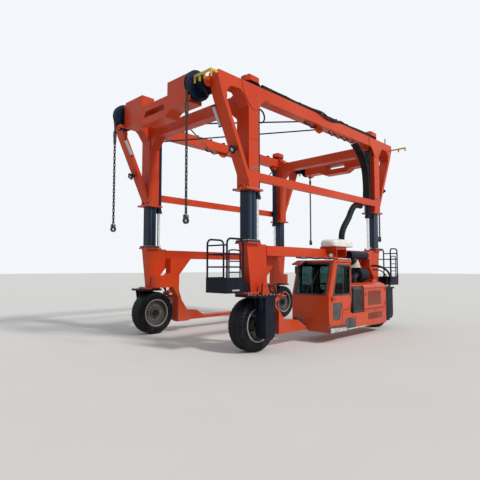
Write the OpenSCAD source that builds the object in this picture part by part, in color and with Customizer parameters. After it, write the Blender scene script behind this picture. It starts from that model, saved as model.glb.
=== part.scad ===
// Straddle carrier with telescopic legs: four wheels, a cab and an engine house low on
// the left side, and four chains that hang from the corners of the lifting frame.
// +X is forward, +Y is left, +Z is up, and the ground is Z 0. All sizes are millimetres.

/* [Legs] */
// Half the distance between the front and the rear legs
leg_x = 2930; // [2880:10:3000]
// Half the distance between the left and the right legs
leg_y = 1900; // [1880:10:1960]
// Top of the lower posts
post_top_z = 2400; // [2380:5:2420]
// Width of a mast column
mast_w = 250; // [230:5:270]
// Top of the mast columns
mast_top_z = 4850; // [4700:10:4900]
// Distance of the lift cylinders from the leg's middle
cylinder_in = 300; // [296:1:310]
// Radius of the chrome lift rods
lift_rod_r = 45; // [35:1:50]
// Thickness of the bolted flanges
flange_t = 35; // [25:1:40]

/* [Lifting frame] */
// Underside of the lifting frame's feet
frame_base_z = 3550; // [3500:5:3600]
// Underside of the top side beams
beam_z = 5660; // [5640:5:5680]
// Top of the top side beams
beam_top_z = 5950; // [5930:5:5970]
// Length of a mast sleeve's section
sleeve_x = 330; // [320:2:350]
// Width of a mast sleeve's section
sleeve_y = 370; // [350:2:390]
// Width of the top side beams
beam_w = 280; // [260:5:290]
// Width of the slanted struts
strut_w = 300; // [280:5:310]
// Tip of the side frames
tip_x = 4025; // [4010:5:4040]
// Height of the low tie beams
tie_h = 190; // [170:5:220]
// Middle of the chain wheels
wheel_axis_x = 4050; // [4030:5:4055]
// Height of the chain wheels
wheel_axis_z = 5750; // [5740:5:5760]
// Distance of the chains from the middle
chain_y = 1450; // [1440:5:1460]
// Radius of a chain wheel
chain_wheel_r = 330; // [320:1:340]
// Lower end of the chains
chain_end_z = 2740; // [2700:10:2900]

/* [Wheels] */
// Radius of a tyre
tyre_r = 585; // [570:1:590]
// Width of a tyre
tyre_w = 440; // [400:2:446]
// Radius of a rim
rim_r = 370; // [350:2:390]
// Distance of the front wheels behind their steering axis
wheel_trail = 60; // [40:5:80]
// Gap between a tyre and the plate above it
tyre_gap = 30; // [20:1:50]

/* [Cab] */
// Front of the cab
cab_x = 890; // [880:5:910]
// Back of the cab
cab_back_x = -190; // [-200:2:-180]
// Outer side of the cab
cab_y = 2670; // [2660:2:2680]
// Inner side of the cab
cab_in_y = 1570; // [1560:2:1600]
// Underside of the cab
cab_z = 400; // [390:2:420]
// Top of the cab
cab_top_z = 2030; // [2020:2:2040]
// Thickness of the cab's walls
cab_wall = 45; // [35:1:50]

/* [Hidden] */
$fn = 48;
sheet = 25;
sleeve_in = leg_x - sleeve_x / 2;
sleeve_out = leg_x + sleeve_x / 2;
frame_in_y = leg_y - sleeve_y / 2;
frame_y = leg_y + sleeve_y / 2;
cylinder_x = leg_x - cylinder_in;
chain_r = chain_wheel_r - 45;
chain_x = wheel_axis_x + chain_r;
post_base_z = 2 * tyre_r + tyre_gap + 50;
post_foot_z = post_base_z + flange_t;
post_head_z = post_top_z - flange_t;
pivot_x = leg_x - 70;
post_w = 250;
yoke_out_y = leg_y + 550;
rack_tip_y = 2590;
outer_y = cab_y + 35;
side_shift = (outer_y - yoke_out_y) / 2;
axle_r = 60;
pin_r = 80;
fit = 0.05;
skirt_z = 260;
hinge_y = cab_y + 8;
rail_r = 21;
cab_hinges = [1080, 1780];
engine_hinges = [780, 1180];
house_z = 650;
house_top_z = 1420;
house_x = [-2160, -860];
house_y = [1620, cab_y];

// Sub-part to build

ORANGE = [0.86, 0.23, 0.10];
NAVY = [0.08, 0.11, 0.16];
BLACK = [0.05, 0.05, 0.06];
GREY = [0.30, 0.31, 0.32];
CHROME = [0.78, 0.79, 0.80];
YELLOW = [0.90, 0.68, 0.10];
WHITE = [0.88, 0.88, 0.86];
GLASS = [0.35, 0.50, 0.45, 0.35];

// Helpers: boxes from ranges, plates from outlines and rods between points
module block(x, y, z) {
    translate([x[0], y[0], z[0]]) cube([x[1] - x[0], y[1] - y[0], z[1] - z[0]]);
}
module side_plate(y) {
    translate([0, y[1], 0]) rotate([90, 0, 0]) linear_extrude(y[1] - y[0]) children();
}
module front_plate(x) {
    translate([x[0], 0, 0]) rotate([90, 0, 90]) linear_extrude(x[1] - x[0]) children();
}
module rod(a, b, r) {
    v = b - a;
    translate(a) rotate([0, acos(v[2] / norm(v)), atan2(v[1], v[0])]) cylinder(h = norm(v), r = r);
}
module tube_path(points, r) {
    for (i = [0 : len(points) - 2]) rod(points[i], points[i + 1], r);
    for (i = [1 : len(points) - 2]) translate(points[i]) sphere(r);
}
module y_round(c, y, r) {
    translate([c[0], y[0], c[1]]) rotate([-90, 0, 0]) cylinder(h = y[1] - y[0], r = r);
}
module elbow(centre, r, turn) {
    translate(centre) rotate([90, 0, 0]) rotate([0, 0, turn])
        rotate_extrude(angle = 90) translate([r, 0]) circle(rail_r);
}
// Fixed half of a door hinge with its pin, and the door's half
module hinge_fixed(x, z) {
    translate([x, hinge_y, z]) {
        cylinder(h = 40, r = 13);
        cylinder(h = 84, r = 6);
        translate([-26, -13, 0]) cube([26, 18, 40]);
    }
}
module hinge_moving(x, z) {
    translate([x, hinge_y, z + 40.3]) difference() {
        union() {
            cylinder(h = 40, r = 13);
            translate([0, -13, 0]) cube([40, 18, 40]);
        }
        translate([0, 0, -1]) cylinder(h = 42, r = 6 + fit);
    }
}
module hinge_gap(x, z) { translate([x - 14, hinge_y - 22, z - 5]) cube([32, 40, 95]); }
module both_sides() { children(); mirror([0, 1, 0]) children(); }
module both_ends() { children(); mirror([1, 0, 0]) children(); }
module corners() { both_sides() both_ends() children(); }
module placed() { translate([0, -side_shift, 0]) children(); }

// Lower posts
function post_face(z) = leg_x + 40 + (z - post_foot_z) * 130 / (post_head_z - post_foot_z);
module lower_post() {
    side_plate([leg_y - post_w / 2, leg_y + post_w / 2]) polygon([
        [leg_x - 187, post_foot_z], [leg_x + 40, post_foot_z], [leg_x + 170, post_head_z],
        [leg_x - 480, post_head_z], [leg_x - 480, 1836], [leg_x - 254, 1583]
    ]);
    block([leg_x - 230, leg_x + 210], [leg_y - 210, leg_y + 210], [post_base_z, post_foot_z]);
    block([leg_x - 195, leg_x + 215], [leg_y - 200, leg_y + 200], [post_head_z, post_top_z]);
    // Seat of the lift cylinder's rod
    block([cylinder_x - 60, leg_x - 194], [leg_y - 75, leg_y + 75], [post_head_z - 1, post_top_z]);
}
module lower_posts() {
    color(ORANGE) placed() {
        both_sides() mirror([1, 0, 0]) lower_post();
        both_sides() difference() {
            lower_post();
            translate([pivot_x, leg_y, post_base_z - 10]) cylinder(h = 165, r = pin_r + fit);
        }
    }
}

// Mast columns that stand on the lower posts
module mast_columns() {
    color(NAVY) placed() corners() {
        block([leg_x - 195, leg_x + 195], [leg_y - 195, leg_y + 195],
            [post_top_z, post_top_z + flange_t]);
        block([leg_x - mast_w / 2, leg_x + mast_w / 2], [leg_y - mast_w / 2, leg_y + mast_w / 2],
            [post_top_z + flange_t, mast_top_z]);
    }
}

// Chrome rods of the lift cylinders
module lift_rods() {
    color(CHROME) placed() corners() translate([cylinder_x, leg_y, post_top_z]) {
        translate([-50, -65, 0]) cube([90, 130, 75]);
        translate([0, 0, 75]) cylinder(h = mast_top_z - post_top_z - 525, r = lift_rod_r);
    }
}

// Side beams between the lower posts
module lower_side_beams() {
    color(ORANGE) placed() both_sides()
        block([-leg_x + 480, leg_x - 480], [leg_y - 140, leg_y + 140], [2110, 2340]);
}

// Low side rails that sweep down behind the front wheels, with inner plates that carry
// them from the lower posts and the side beams
rail_y = [leg_y - 150, leg_y + 150];
neck_y = [leg_y - 350, leg_y - post_w / 2];
rail_front = pivot_x - wheel_trail - tyre_r - 175;
rail_back = -leg_x + tyre_r + 25;
module side_rails() {
    color(ORANGE) placed() both_sides() {
        side_plate(rail_y) polygon([
            [rail_front, 300], [rail_front, 820], [rail_front + 165, 985],
            [rail_front + 165, 1065], [rail_front - 220, 620], [1300, 570], [1000, cab_z - 4],
            [rail_back + 145, cab_z - 4], [rail_back + 145, 1000], [rail_back, 1000],
            [rail_back, 300]
        ]);
        side_plate(neck_y) polygon([
            [rail_front - 290, 300], [rail_front + 120, 300], [rail_front + 120, 1000],
            [rail_front + 290, post_base_z - 10], [rail_front + 290, post_foot_z],
            [leg_x + 30, post_foot_z], [leg_x + 30, 1600], [leg_x - 410, 1640],
            [leg_x - 480, 1700], [leg_x - 480, 2110], [1700, 2110], [2130, 1640], [2140, 1200],
            [2030, 900], [rail_front - 220, 620], [rail_front - 290, 560]
        ]);
        side_plate(neck_y) polygon([
            [rail_back + 145, 300], [rail_back, 300], [rail_back, post_foot_z],
            [-leg_x - 30, post_foot_z], [-leg_x - 30, 1600], [-leg_x + 410, 1640],
            [-leg_x + 480, 1700], [-leg_x + 480, 2110], [rail_back + 145, 2110]
        ]);
    }
}

// Forks of the wheels: a plate over the tyre and one leg outside it
module fork(pivot, trail) {
    x = pivot - trail;
    translate([pivot, leg_y, post_base_z - 50]) linear_extrude(45) polygon([
        [-260, -150], [-160, -240], [240, -240], [340, -130], [370, 200], [370, 420],
        [270, 550], [-260, 550], [-360, 440], [-360, 0]
    ]);
    block([x - 150, x + 170], [leg_y + 250, yoke_out_y - 5], [tyre_r - 150, post_base_z - 49]);
    y_round([x + 10, tyre_r - 130], [leg_y + 250, yoke_out_y - 5], 158);
    y_round([x, tyre_r], [leg_y - 150, leg_y + 251], axle_r);
    y_round([x, tyre_r], [leg_y - 190, leg_y - 150], axle_r + 30);
}
module steer_yoke() {
    color(BLACK) {
        fork(pivot_x, wheel_trail);
        translate([pivot_x, leg_y, post_base_z - 6]) cylinder(h = 155, r = pin_r);
    }
}
module front_left_yoke() { placed() steer_yoke(); }
module front_right_yoke() { placed() mirror([0, 1, 0]) steer_yoke(); }
module rear_forks() {
    color(BLACK) placed() both_sides() mirror([1, 0, 0]) {
        fork(leg_x, 0);
        block([leg_x - 200, leg_x + 200], [leg_y - 200, leg_y + 200],
            [post_base_z - 5, post_base_z]);
    }
}

// Wheels: tyre and rim
module tyre_at(x) {
    color(BLACK) translate([x, leg_y, tyre_r]) rotate([90, 0, 0]) rotate_extrude() polygon([
        [rim_r, -tyre_w / 2 + 40], [rim_r + 25, -tyre_w / 2 + 10], [rim_r + 60, -tyre_w / 2],
        [tyre_r - 70, -tyre_w / 2], [tyre_r - 15, -tyre_w / 2 + 30], [tyre_r, -tyre_w / 2 + 80],
        [tyre_r, tyre_w / 2 - 80], [tyre_r - 15, tyre_w / 2 - 30], [tyre_r - 70, tyre_w / 2],
        [rim_r + 60, tyre_w / 2], [rim_r + 25, tyre_w / 2 - 10], [rim_r, tyre_w / 2 - 40]
    ]);
}
module rim_at(x) {
    color(GREY) translate([x, leg_y, tyre_r]) rotate([90, 0, 0]) rotate_extrude() polygon([
        [axle_r + fit, -120], [150, -120], [150, 60], [rim_r - 25, 60],
        [rim_r - 25, -tyre_w / 2 + 30], [rim_r - 5, -tyre_w / 2 + 20], [rim_r, -tyre_w / 2 + 40],
        [rim_r, tyre_w / 2 - 40], [rim_r - 5, tyre_w / 2 - 20], [rim_r - 25, tyre_w / 2 - 30],
        [rim_r - 25, 100], [140, 100], [140, 130], [axle_r + fit, 130]
    ]);
}
front_wheel_x = pivot_x - wheel_trail;
module front_left_tyre() { placed() tyre_at(front_wheel_x); }
module front_left_rim() { placed() rim_at(front_wheel_x); }
module front_right_tyre() { placed() mirror([0, 1, 0]) tyre_at(front_wheel_x); }
module front_right_rim() { placed() mirror([0, 1, 0]) rim_at(front_wheel_x); }
module rear_left_tyre() { placed() tyre_at(-leg_x); }
module rear_left_rim() { placed() rim_at(-leg_x); }
module rear_right_tyre() { placed() mirror([0, 1, 0]) tyre_at(-leg_x); }
module rear_right_rim() { placed() mirror([0, 1, 0]) rim_at(-leg_x); }

// Cab: floor, walls, front with the windscreen's frame, roof and glass
glass_t = 8;
front_rake = 255;
sill_z = 1155;
roof_t = 50;
roof_z = cab_top_z - roof_t;
pillar_x = cab_x - front_rake;
door_x = [cab_back_x + 25, cab_x - 60];
door_top_z = roof_z - 12;
// Front edge of the door at a height: upright below the sill and raked above it
function rake_x(z) = z < sill_z ? 0 : (z - sill_z) * front_rake / (roof_z - sill_z);
module cab_floor() {
    color(GREY) placed() {
        block([cab_back_x, cab_x], [cab_in_y, cab_y - 51], [cab_z - 4, cab_z + 46]);
        block([242, cab_x], [cab_y - 52, cab_y - 5], [cab_z - 4, cab_z + 5]);
        block([door_x[1] + 5, cab_x], [cab_y - 52, cab_y - 5], [cab_z + 4, cab_z + 46]);
        // Step below the door
        block([140, cab_x - 20], [cab_y - 5, cab_y + 28], [cab_z - 150, cab_z - 12]);
    }
}
module cab_walls() {
    color(ORANGE) placed() {
        // Back wall with its window
        difference() {
            block([cab_back_x, cab_back_x + cab_wall], [cab_in_y, cab_y - cab_wall],
                [cab_z + 46, roof_z]);
            block([cab_back_x - 1, cab_back_x + cab_wall + 1], [cab_in_y + 120, cab_y - 170],
                [sill_z + 60, roof_z - 80]);
        }
        // Inner side with its window
        difference() {
            side_plate([cab_in_y, cab_in_y + cab_wall]) polygon([
                [cab_back_x + cab_wall - 1, cab_z + 46], [pillar_x - 60, cab_z + 46],
                [pillar_x - 60, roof_z], [cab_back_x + cab_wall - 1, roof_z]]);
            block([cab_back_x + 130, pillar_x - 120],
                [cab_in_y - 1, cab_in_y + cab_wall + 1], [sill_z, roof_z - 80]);
        }
        // Rear corner post and the side behind the door's lower part
        difference() {
            block([cab_back_x, cab_back_x + 18], [cab_y - cab_wall, cab_y], [1020, roof_z]);
            for (z = cab_hinges) hinge_gap(door_x[0] - 3, z);
        }
        side_plate([cab_y - cab_wall, cab_y]) polygon([
            [cab_back_x, 1021], [cab_back_x + 70, 680], [240, 680], [240, 770],
            [cab_back_x + 90, 770], [cab_back_x + 18, 1021]]);
        for (z = cab_hinges) hinge_fixed(door_x[0] - 3, z);
    }
}
module front_outline() {
    polygon([
        [pillar_x - 60, cab_z + 46], [cab_x - 40, cab_z + 46], [cab_x, cab_z + 120],
        [cab_x, sill_z], [pillar_x, roof_z], [pillar_x - 60, roof_z]
    ]);
}
module front_room() {
    polygon([
        [pillar_x - 61, cab_z + 45], [cab_x - cab_wall - 40, cab_z + 45],
        [cab_x - cab_wall, cab_z + 120], [cab_x - cab_wall, sill_z],
        [pillar_x - cab_wall, roof_z + 1], [pillar_x - 61, roof_z + 1]
    ]);
}
module cab_front() {
    color(ORANGE) placed() difference() {
        side_plate([cab_in_y, cab_y]) front_outline();
        side_plate([cab_in_y + cab_wall, cab_y - cab_wall]) front_room();
        // Windscreen
        block([pillar_x - 200, cab_x + 50], [cab_in_y + 60, cab_y - 95],
            [sill_z + 12, roof_z - 25]);
        // Door's front edge
        side_plate([cab_y - cab_wall - 1, cab_y + 1]) polygon([
            [pillar_x - 62, cab_z], [door_x[1] + 5, cab_z], [door_x[1] + 5, sill_z],
            [door_x[1] + 5 - rake_x(door_top_z), door_top_z + 4], [pillar_x - 62, door_top_z + 4]]);
        // Window beside the windscreen on the inner side
        side_plate([cab_in_y - 1, cab_in_y + cab_wall + 1]) polygon([
            [pillar_x - 70, sill_z], [cab_x - 110, sill_z],
            [pillar_x - 30, roof_z - 80], [pillar_x - 70, roof_z - 80]
        ]);
    }
}
module cab_roof() {
    color(ORANGE) placed() {
        difference() {
            block([cab_back_x - 20, pillar_x + 10], [cab_in_y - 15, cab_y + 5],
                [roof_z, cab_top_z]);
            block([cab_back_x + 120, pillar_x - 160], [cab_in_y + 160, cab_y - 170],
                [cab_top_z - 12, cab_top_z + 1]);
        }
        // Sun visor over the inner side of the windscreen
        side_plate([cab_in_y - 15, cab_in_y + 300]) polygon([
            [pillar_x + 9, roof_z], [pillar_x + 230, roof_z - 75], [pillar_x + 245, roof_z - 40],
            [pillar_x + 9, cab_top_z - 5]
        ]);
    }
}
module cab_windows() {
    color(GLASS) placed() {
        // Windscreen, set a little behind the frame's front face
        side_plate([cab_in_y + 60, cab_y - 95]) polygon([
            [cab_x - 20 - rake_x(sill_z + 12), sill_z + 12],
            [cab_x - 20 + glass_t - rake_x(sill_z + 12), sill_z + 12],
            [cab_x - 20 + glass_t - rake_x(roof_z - 25), roof_z - 25],
            [cab_x - 20 - rake_x(roof_z - 25), roof_z - 25]
        ]);
        // Back window
        block([cab_back_x + 15, cab_back_x + 15 + glass_t], [cab_in_y + 120, cab_y - 170],
            [sill_z + 60, roof_z - 80]);
        // Inner side windows
        block([cab_back_x + 130, pillar_x - 120],
            [cab_in_y + 15, cab_in_y + 15 + glass_t], [sill_z, roof_z - 80]);
        side_plate([cab_in_y + 15, cab_in_y + 15 + glass_t]) polygon([
            [pillar_x - 60, sill_z], [cab_x - 110, sill_z],
            [pillar_x - 30, roof_z - 80], [pillar_x - 60, roof_z - 80]
        ]);
    }
}
module cab_seat() {
    color(BLACK) placed() translate([190, (cab_in_y + cab_y) / 2, cab_z + 46]) {
        block([-150, 150], [-150, 150], [0, 230]);
        block([-240, 250], [-240, 240], [230, 350]);
        translate([-240, 0, 350]) rotate([0, -6, 0]) block([-10, 100], [-225, 225], [-25, 620]);
        block([-60, 220], [-310, -235], [300, 430]);
        block([-60, 220], [235, 310], [300, 430]);
    }
}
module cab_console() {
    color(GREY) placed() {
        block([cab_x - 300, cab_x - cab_wall - 45], [cab_in_y + cab_wall, cab_y - 300],
            [cab_z + 46, sill_z - 180]);
        rod([cab_x - 290, 2080, 950], [cab_x - 390, 2080, 1110], 22);
        translate([cab_x - 390, 2080, 1110]) rotate([0, -23, 0]) rotate_extrude()
            translate([165, 0]) circle(14);
        translate([cab_x - 390, 2080, 1110]) rotate([0, -23, 0]) {
            cylinder(h = 16, r = 40);
            for (a = [30, 150, 270]) rotate([0, 0, a]) translate([20, -12, 0]) cube([140, 24, 10]);
        }
    }
}
door_y = [cab_y - cab_wall, cab_y];
module door_outline() {
    polygon([
        [door_x[0], door_top_z], [door_x[0], 1030], [door_x[0] + 80, 780], [248, 780],
        [248, cab_z + 10], [door_x[1], cab_z + 10], [door_x[1], sill_z],
        [door_x[1] - rake_x(door_top_z), door_top_z]
    ]);
}
module door_window() {
    polygon([
        [door_x[0] + 45, door_top_z - 60], [door_x[0] + 45, sill_z], [door_x[1] - 140, sill_z],
        [door_x[1] - 135 - rake_x(door_top_z - 60), door_top_z - 60]
    ]);
}
// Lower panel of another colour, shaped like a boot
module door_insert() {
    polygon([
        [400, 545], [620, 545], [705, 620], [705, 960], [280, 960], [280, 870], [345, 800],
        [360, 600]
    ]);
}
module door_panel() {
    color(ORANGE) placed() {
        difference() {
            side_plate(door_y) door_outline();
            side_plate([door_y[0] - 1, door_y[1] + 1]) door_window();
            side_plate([door_y[1] - 6, door_y[1] + 1]) door_insert();
            for (z = cab_hinges) hinge_gap(door_x[0] - 3, z);
        }
        for (z = cab_hinges) hinge_moving(door_x[0] - 3, z);
        // Handle
        block([door_x[1] - 95, door_x[1] - 65], [cab_y - 1, outer_y], [1010, 1130]);
    }
}
module door_glass() {
    color(GLASS) placed() side_plate([door_y[0] + 15, door_y[0] + 15 + glass_t]) door_window();
}

// Cooling unit on its bracket behind and above the cab
unit_x = [-800, 20];
unit_y = [1800, 2350];
unit_z = 2410;
module unit_bracket() {
    color(ORANGE) placed() {
        block([-640, -120], [leg_y - 130, leg_y + 380], [2340, unit_z]);
        difference() {
            side_plate([leg_y + 140, leg_y + 380]) polygon([
                [-640, 2343], [-120, 2343], [-120, 2160], [-200, 2070], [-560, 2070],
                [-640, 2160]]);
            block([-620, -140], [leg_y + 160, leg_y + 381], [2060, 2330]);
        }
    }
}
module cooling_unit() {
    color(WHITE) placed() {
        side_plate(unit_y) polygon([
            [unit_x[0], unit_z], [unit_x[1] - 60, unit_z], [unit_x[1], unit_z + 45],
            [unit_x[1] - 90, unit_z + 190], [unit_x[0] + 60, unit_z + 205],
            [unit_x[0], unit_z + 150]
        ]);
    }
}

// Engine house with its door, and the plain block inside
engine_door_x = [house_x[0] + 50, house_x[1] - 35];
engine_door_z = [house_z + 75, house_top_z - 150];
hood_x = cab_back_x - 60;
module engine_house() {
    color(ORANGE) placed() for (z = engine_hinges) hinge_fixed(engine_door_x[0] - 3, z);
    color(ORANGE) placed() difference() {
        front_plate(house_x) polygon([
            [house_y[0], house_z], [house_y[1], house_z], [house_y[1], house_top_z - 110],
            [house_y[1] - 60, house_top_z - 45], [house_y[1] - 200, house_top_z],
            [house_y[0], house_top_z]
        ]);
        front_plate([house_x[0] + sheet, house_x[1] - sheet]) polygon([
            [house_y[0] + sheet, house_z + sheet], [house_y[1] - sheet, house_z + sheet],
            [house_y[1] - sheet, house_top_z - 130], [house_y[1] - 200, house_top_z - sheet],
            [house_y[0] + sheet, house_top_z - sheet]
        ]);
        block([engine_door_x[0] - 6, engine_door_x[1] + 6], [house_y[1] - 60, house_y[1] + 1],
            [engine_door_z[0] - 6, engine_door_z[1] + 6]);
        for (z = engine_hinges) hinge_gap(engine_door_x[0] - 3, z);
    }
    // Filler box on the top
    color(ORANGE) placed() block([-2080, -1850], [2150, 2420], [house_top_z - 1, house_top_z + 80]);
    // Hood that runs on over the radiator box to the cab
    color(ORANGE) placed() front_plate([house_x[1] - 1, hood_x]) polygon([
        [house_y[0], house_top_z - 40], [house_y[1] - 60, house_top_z - 75],
        [house_y[1] - 60, house_top_z - 45], [house_y[1] - 200, house_top_z],
        [house_y[0], house_top_z]
    ]);
}
module engine_block() {
    color(GREY) placed() block([-1950, -1050], [1760, 2420], [house_z + sheet, 1300]);
}
module engine_door() {
    color(ORANGE) placed() difference() {
        block(engine_door_x, [cab_y - 30, cab_y], engine_door_z);
        block([-1830, -1070], [cab_y - 8, cab_y + 1], [810, 1200]);
        for (z = engine_hinges) hinge_gap(engine_door_x[0] - 3, z);
    }
    color(ORANGE) placed() for (z = engine_hinges) hinge_moving(engine_door_x[0] - 3, z);
}

// Skirt below the engine house and the cab
module side_skirt() {
    color(ORANGE) placed() difference() {
        union() {
            block([house_x[0], cab_x], [rail_y[1], cab_y - 5], [skirt_z, cab_z - 4]);
            block([house_x[0], cab_back_x - 5], [house_y[0], cab_y - 5], [cab_z - 4, house_z]);
            block([house_x[0], cab_back_x - 5], [rail_y[1] + 1, cab_y - 5], [cab_z - 30, cab_z + 20]);
            block([cab_back_x - 6, 240], [cab_y - 45, cab_y - 5], [cab_z - 30, 680]);
        }
        // Black panel and a small grille
        block([-400, 150], [cab_y - 15, cab_y], [skirt_z + 25, 560]);
        block([-1890, -1070], [cab_y - 15, cab_y], [430, 600]);
    }
}
module battery_box() {
    color(GREY) placed() {
        block([house_x[1] + 5, cab_back_x - 170], [1750, cab_y - 62], [house_z, 1340]);
    }
}

// Exhaust silencer, air cleaner and rear cooler
module exhaust_silencer() {
    color(BLACK) placed() {
        rod([-1850, 2210, 2200], [-900, 2210, 2200], 110);
        rod([-1850, 2210, 2200], [-1950, 2210, 2200], 40);
        translate([-1100, 2210, house_top_z]) cylinder(h = 700, r = 55);
        translate([-1100, 2210, 1840]) cylinder(h = 220, r = 125);
        block([-1500, -1460], [leg_y + 140, 2210], [2180, 2220]);
    }
}
module air_cleaner() {
    color(BLACK) placed() {
        rod([-1620, 2250, 1640], [-1200, 2250, 1640], 190);
        block([-1560, -1500], [2150, 2350], [house_top_z, 1500]);
        block([-1480, -1420], [2150, 2350], [house_top_z, 1500]);
    }
}
module rear_cooler() {
    color(BLACK) placed() {
        block([-2420, house_x[0]], [2200, 2650], [300, 1280]);
    }
}

// Access platforms on the front and rear legs of the left side
// Columns: platform's near end, far end, inner side, outer side, end of the leg it hangs on
platforms = [[3200, 3730, 1400, 2050, leg_x + 170], [-3750, -3220, 1850, 2350, -leg_x - 170]];
deck_z = 1300;
rail_top_z = 2450;
module platform_decks() {
    color(BLACK) placed() {
        for (p = platforms) difference() {
            block([p[0], p[1]], [p[2], p[3]], [deck_z, deck_z + 260]);
            block([p[0] + 20, p[1] - 20], [p[2] + 20, p[3] - 20], [deck_z + 25, deck_z + 261]);
        }
        // Arms from the lower posts
        for (y = [leg_y - 110, leg_y + 50]) side_plate([y, y + 50]) polygon([
            [post_face(1340), 1340], [platforms[0][0] + 1, 1340], [platforms[0][0] + 1, 1500],
            [post_face(1500), 1500]]);
        mirror([1, 0, 0]) for (y = [leg_y - 40, leg_y + 70]) side_plate([y, y + 50]) polygon([
            [post_face(1340), 1340], [-platforms[1][1] + 1, 1340], [-platforms[1][1] + 1, 1500],
            [post_face(1500), 1500]]);
    }
}
module platform_rails() {
    bend = 110;
    color(BLACK) placed() for (p = platforms) {
        x0 = p[0] + rail_r;
        x1 = p[1] - rail_r;
        for (y = [p[2] + rail_r, p[3] - rail_r]) {
            for (x = [x0, x1])
                translate([x, y, deck_z + 260]) cylinder(h = rail_top_z - bend - deck_z - 260,
                    r = rail_r);
            elbow([x0 + bend, y, rail_top_z - bend], bend, 90);
            elbow([x1 - bend, y, rail_top_z - bend], bend, 0);
            rod([x0 + bend, y, rail_top_z], [x1 - bend, y, rail_top_z], rail_r);
            for (z = [1850, 2120]) rod([x0, y, z], [x1, y, z], rail_r * 0.8);
        }
        for (z = [1850, 2120, rail_top_z - bend - 30]) {
            x = p[4] > 0 ? x1 : x0;
            rod([x, p[2] + rail_r, z], [x, p[3] - rail_r, z], rail_r * 0.8);
        }
    }
}

// Lifting frame: sleeves round the mast columns
module mast_sleeves() {
    color(ORANGE) placed() corners() difference() {
        union() {
            block([sleeve_in, sleeve_out], [frame_in_y, frame_y],
                [frame_base_z + flange_t, beam_top_z]);
            block([leg_x - 270, leg_x + 270], [frame_in_y - 40, frame_y + 40],
                [frame_base_z, frame_base_z + flange_t]);
        }
        translate([cylinder_x, leg_y, frame_base_z - 1]) cylinder(h = flange_t + 2, r = 74.3);
        block([sleeve_in + sheet, sleeve_out - sheet], [frame_in_y + sheet, frame_y - sheet],
            [frame_base_z + flange_t + 60, beam_top_z - 20]);
        block([leg_x - mast_w / 2 - 0.3, leg_x + mast_w / 2 + 0.3],
            [leg_y - mast_w / 2 - 0.3, leg_y + mast_w / 2 + 0.3],
            [frame_base_z - 1, frame_base_z + flange_t + 61]);
    }
}

// Slanted struts from the frame's feet to its tips
strut_t = 105;
strut_base_z = 3715;
strut_top_z = 5390;
strut_bend_z = 5421;
strut_slope = (tip_x - 137 - sleeve_out + 14) / (strut_bend_z - strut_base_z);
function strut_out(z) = sleeve_out - 14 + (z - strut_base_z) * strut_slope;
function strut_in(z) = strut_out(z) - strut_t;
strut_y = [frame_y - strut_w, frame_y];
module struts() {
    color(ORANGE) placed() corners() side_plate(strut_y) polygon([
        [sleeve_out, strut_base_z + 14 / strut_slope], [strut_out(strut_top_z), strut_top_z],
        [strut_in(strut_top_z), strut_top_z],
        [sleeve_out, strut_base_z + (14 + strut_t) / strut_slope]
    ]);
}
// Ends of the side frames: each has the rounded top of the opening in front of the sleeve
// and the bearing of a chain wheel's spindle
module end_beams() {
    color(ORANGE) placed() corners() {
        side_plate(strut_y) difference() {
            polygon([
                [sleeve_out, strut_top_z], [strut_out(strut_top_z), strut_top_z],
                [strut_out(strut_bend_z), strut_bend_z], [tip_x - 5, 5790],
                [tip_x - 5, beam_top_z - 10], [tip_x - 15, beam_top_z], [sleeve_out, beam_top_z]
            ]);
            polygon([
                [sleeve_out - 1, strut_top_z - 1], [strut_in(strut_top_z), strut_top_z - 1],
                [strut_in(strut_top_z) - 15, 5515], [tip_x - 450, 5708], [tip_x - 666, 5722],
                [tip_x - 775, 5640], [sleeve_out - 1, 5415]
            ]);
            translate([tip_x - 450, 5515]) circle(r = 193);
        }
        y_round([wheel_axis_x, wheel_axis_z], [strut_y[0], strut_y[0] + 60], 105);
    }
}

// Top side beams with the gussets that hold the lift cylinders
module top_side_beams() {
    color(ORANGE) placed() both_sides() {
        block([-sleeve_in, sleeve_in], [frame_y - beam_w, frame_y], [beam_z, beam_top_z]);
        both_ends() {
            side_plate([frame_y - 40, frame_y]) difference() {
                polygon([[sleeve_in, beam_z + 1], [sleeve_in - 220, beam_z + 1],
                    [sleeve_in - 220, beam_z - 1], [sleeve_in, beam_z - 240]]);
                translate([sleeve_in - 225, beam_z - 230]) circle(r = 215);
            }
            // Gusset plate on the outer side, over the beam, the sleeve and the frame's end
            side_plate([frame_y, frame_y + 12]) translate([sleeve_in, beam_z]) polygon([
                [-315, 20], [-238, 20], [-109, -85], [-25, -200], [55, -270], [143, -289],
                [225, -270], [336, -175], [435, -60], [535, 140],
                [560, beam_top_z - beam_z - 10], [-315, beam_top_z - beam_z - 10]
            ]);
            block([sleeve_in - 290, sleeve_in - 20], [frame_y - 1, frame_y + 12],
                [beam_z + 30, beam_top_z - 30]);
            block([cylinder_x - 60, cylinder_x + 60], [leg_y - 60, leg_y + 60],
                [beam_z - 110, beam_z + 1]);
        }
    }
}
module tie_beams() {
    color(ORANGE) placed() both_sides()
        block([-sleeve_in, sleeve_in], [frame_y - 100, frame_y],
            [frame_base_z + 225, frame_base_z + 225 + tie_h]);
}

// Portal beams between the left and the right sleeves
module portal_crossbeams() {
    color(ORANGE) placed() both_ends() front_plate([leg_x - 140, leg_x + 140]) polygon([
        [-frame_in_y, beam_z - 480], [-frame_in_y + 330, beam_z - 180],
        [frame_in_y - 330, beam_z - 180], [frame_in_y, beam_z - 480],
        [frame_in_y, beam_top_z - 50], [frame_in_y - 220, beam_z + 110],
        [-frame_in_y + 220, beam_z + 110], [-frame_in_y, beam_top_z - 50]
    ]);
}

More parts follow.
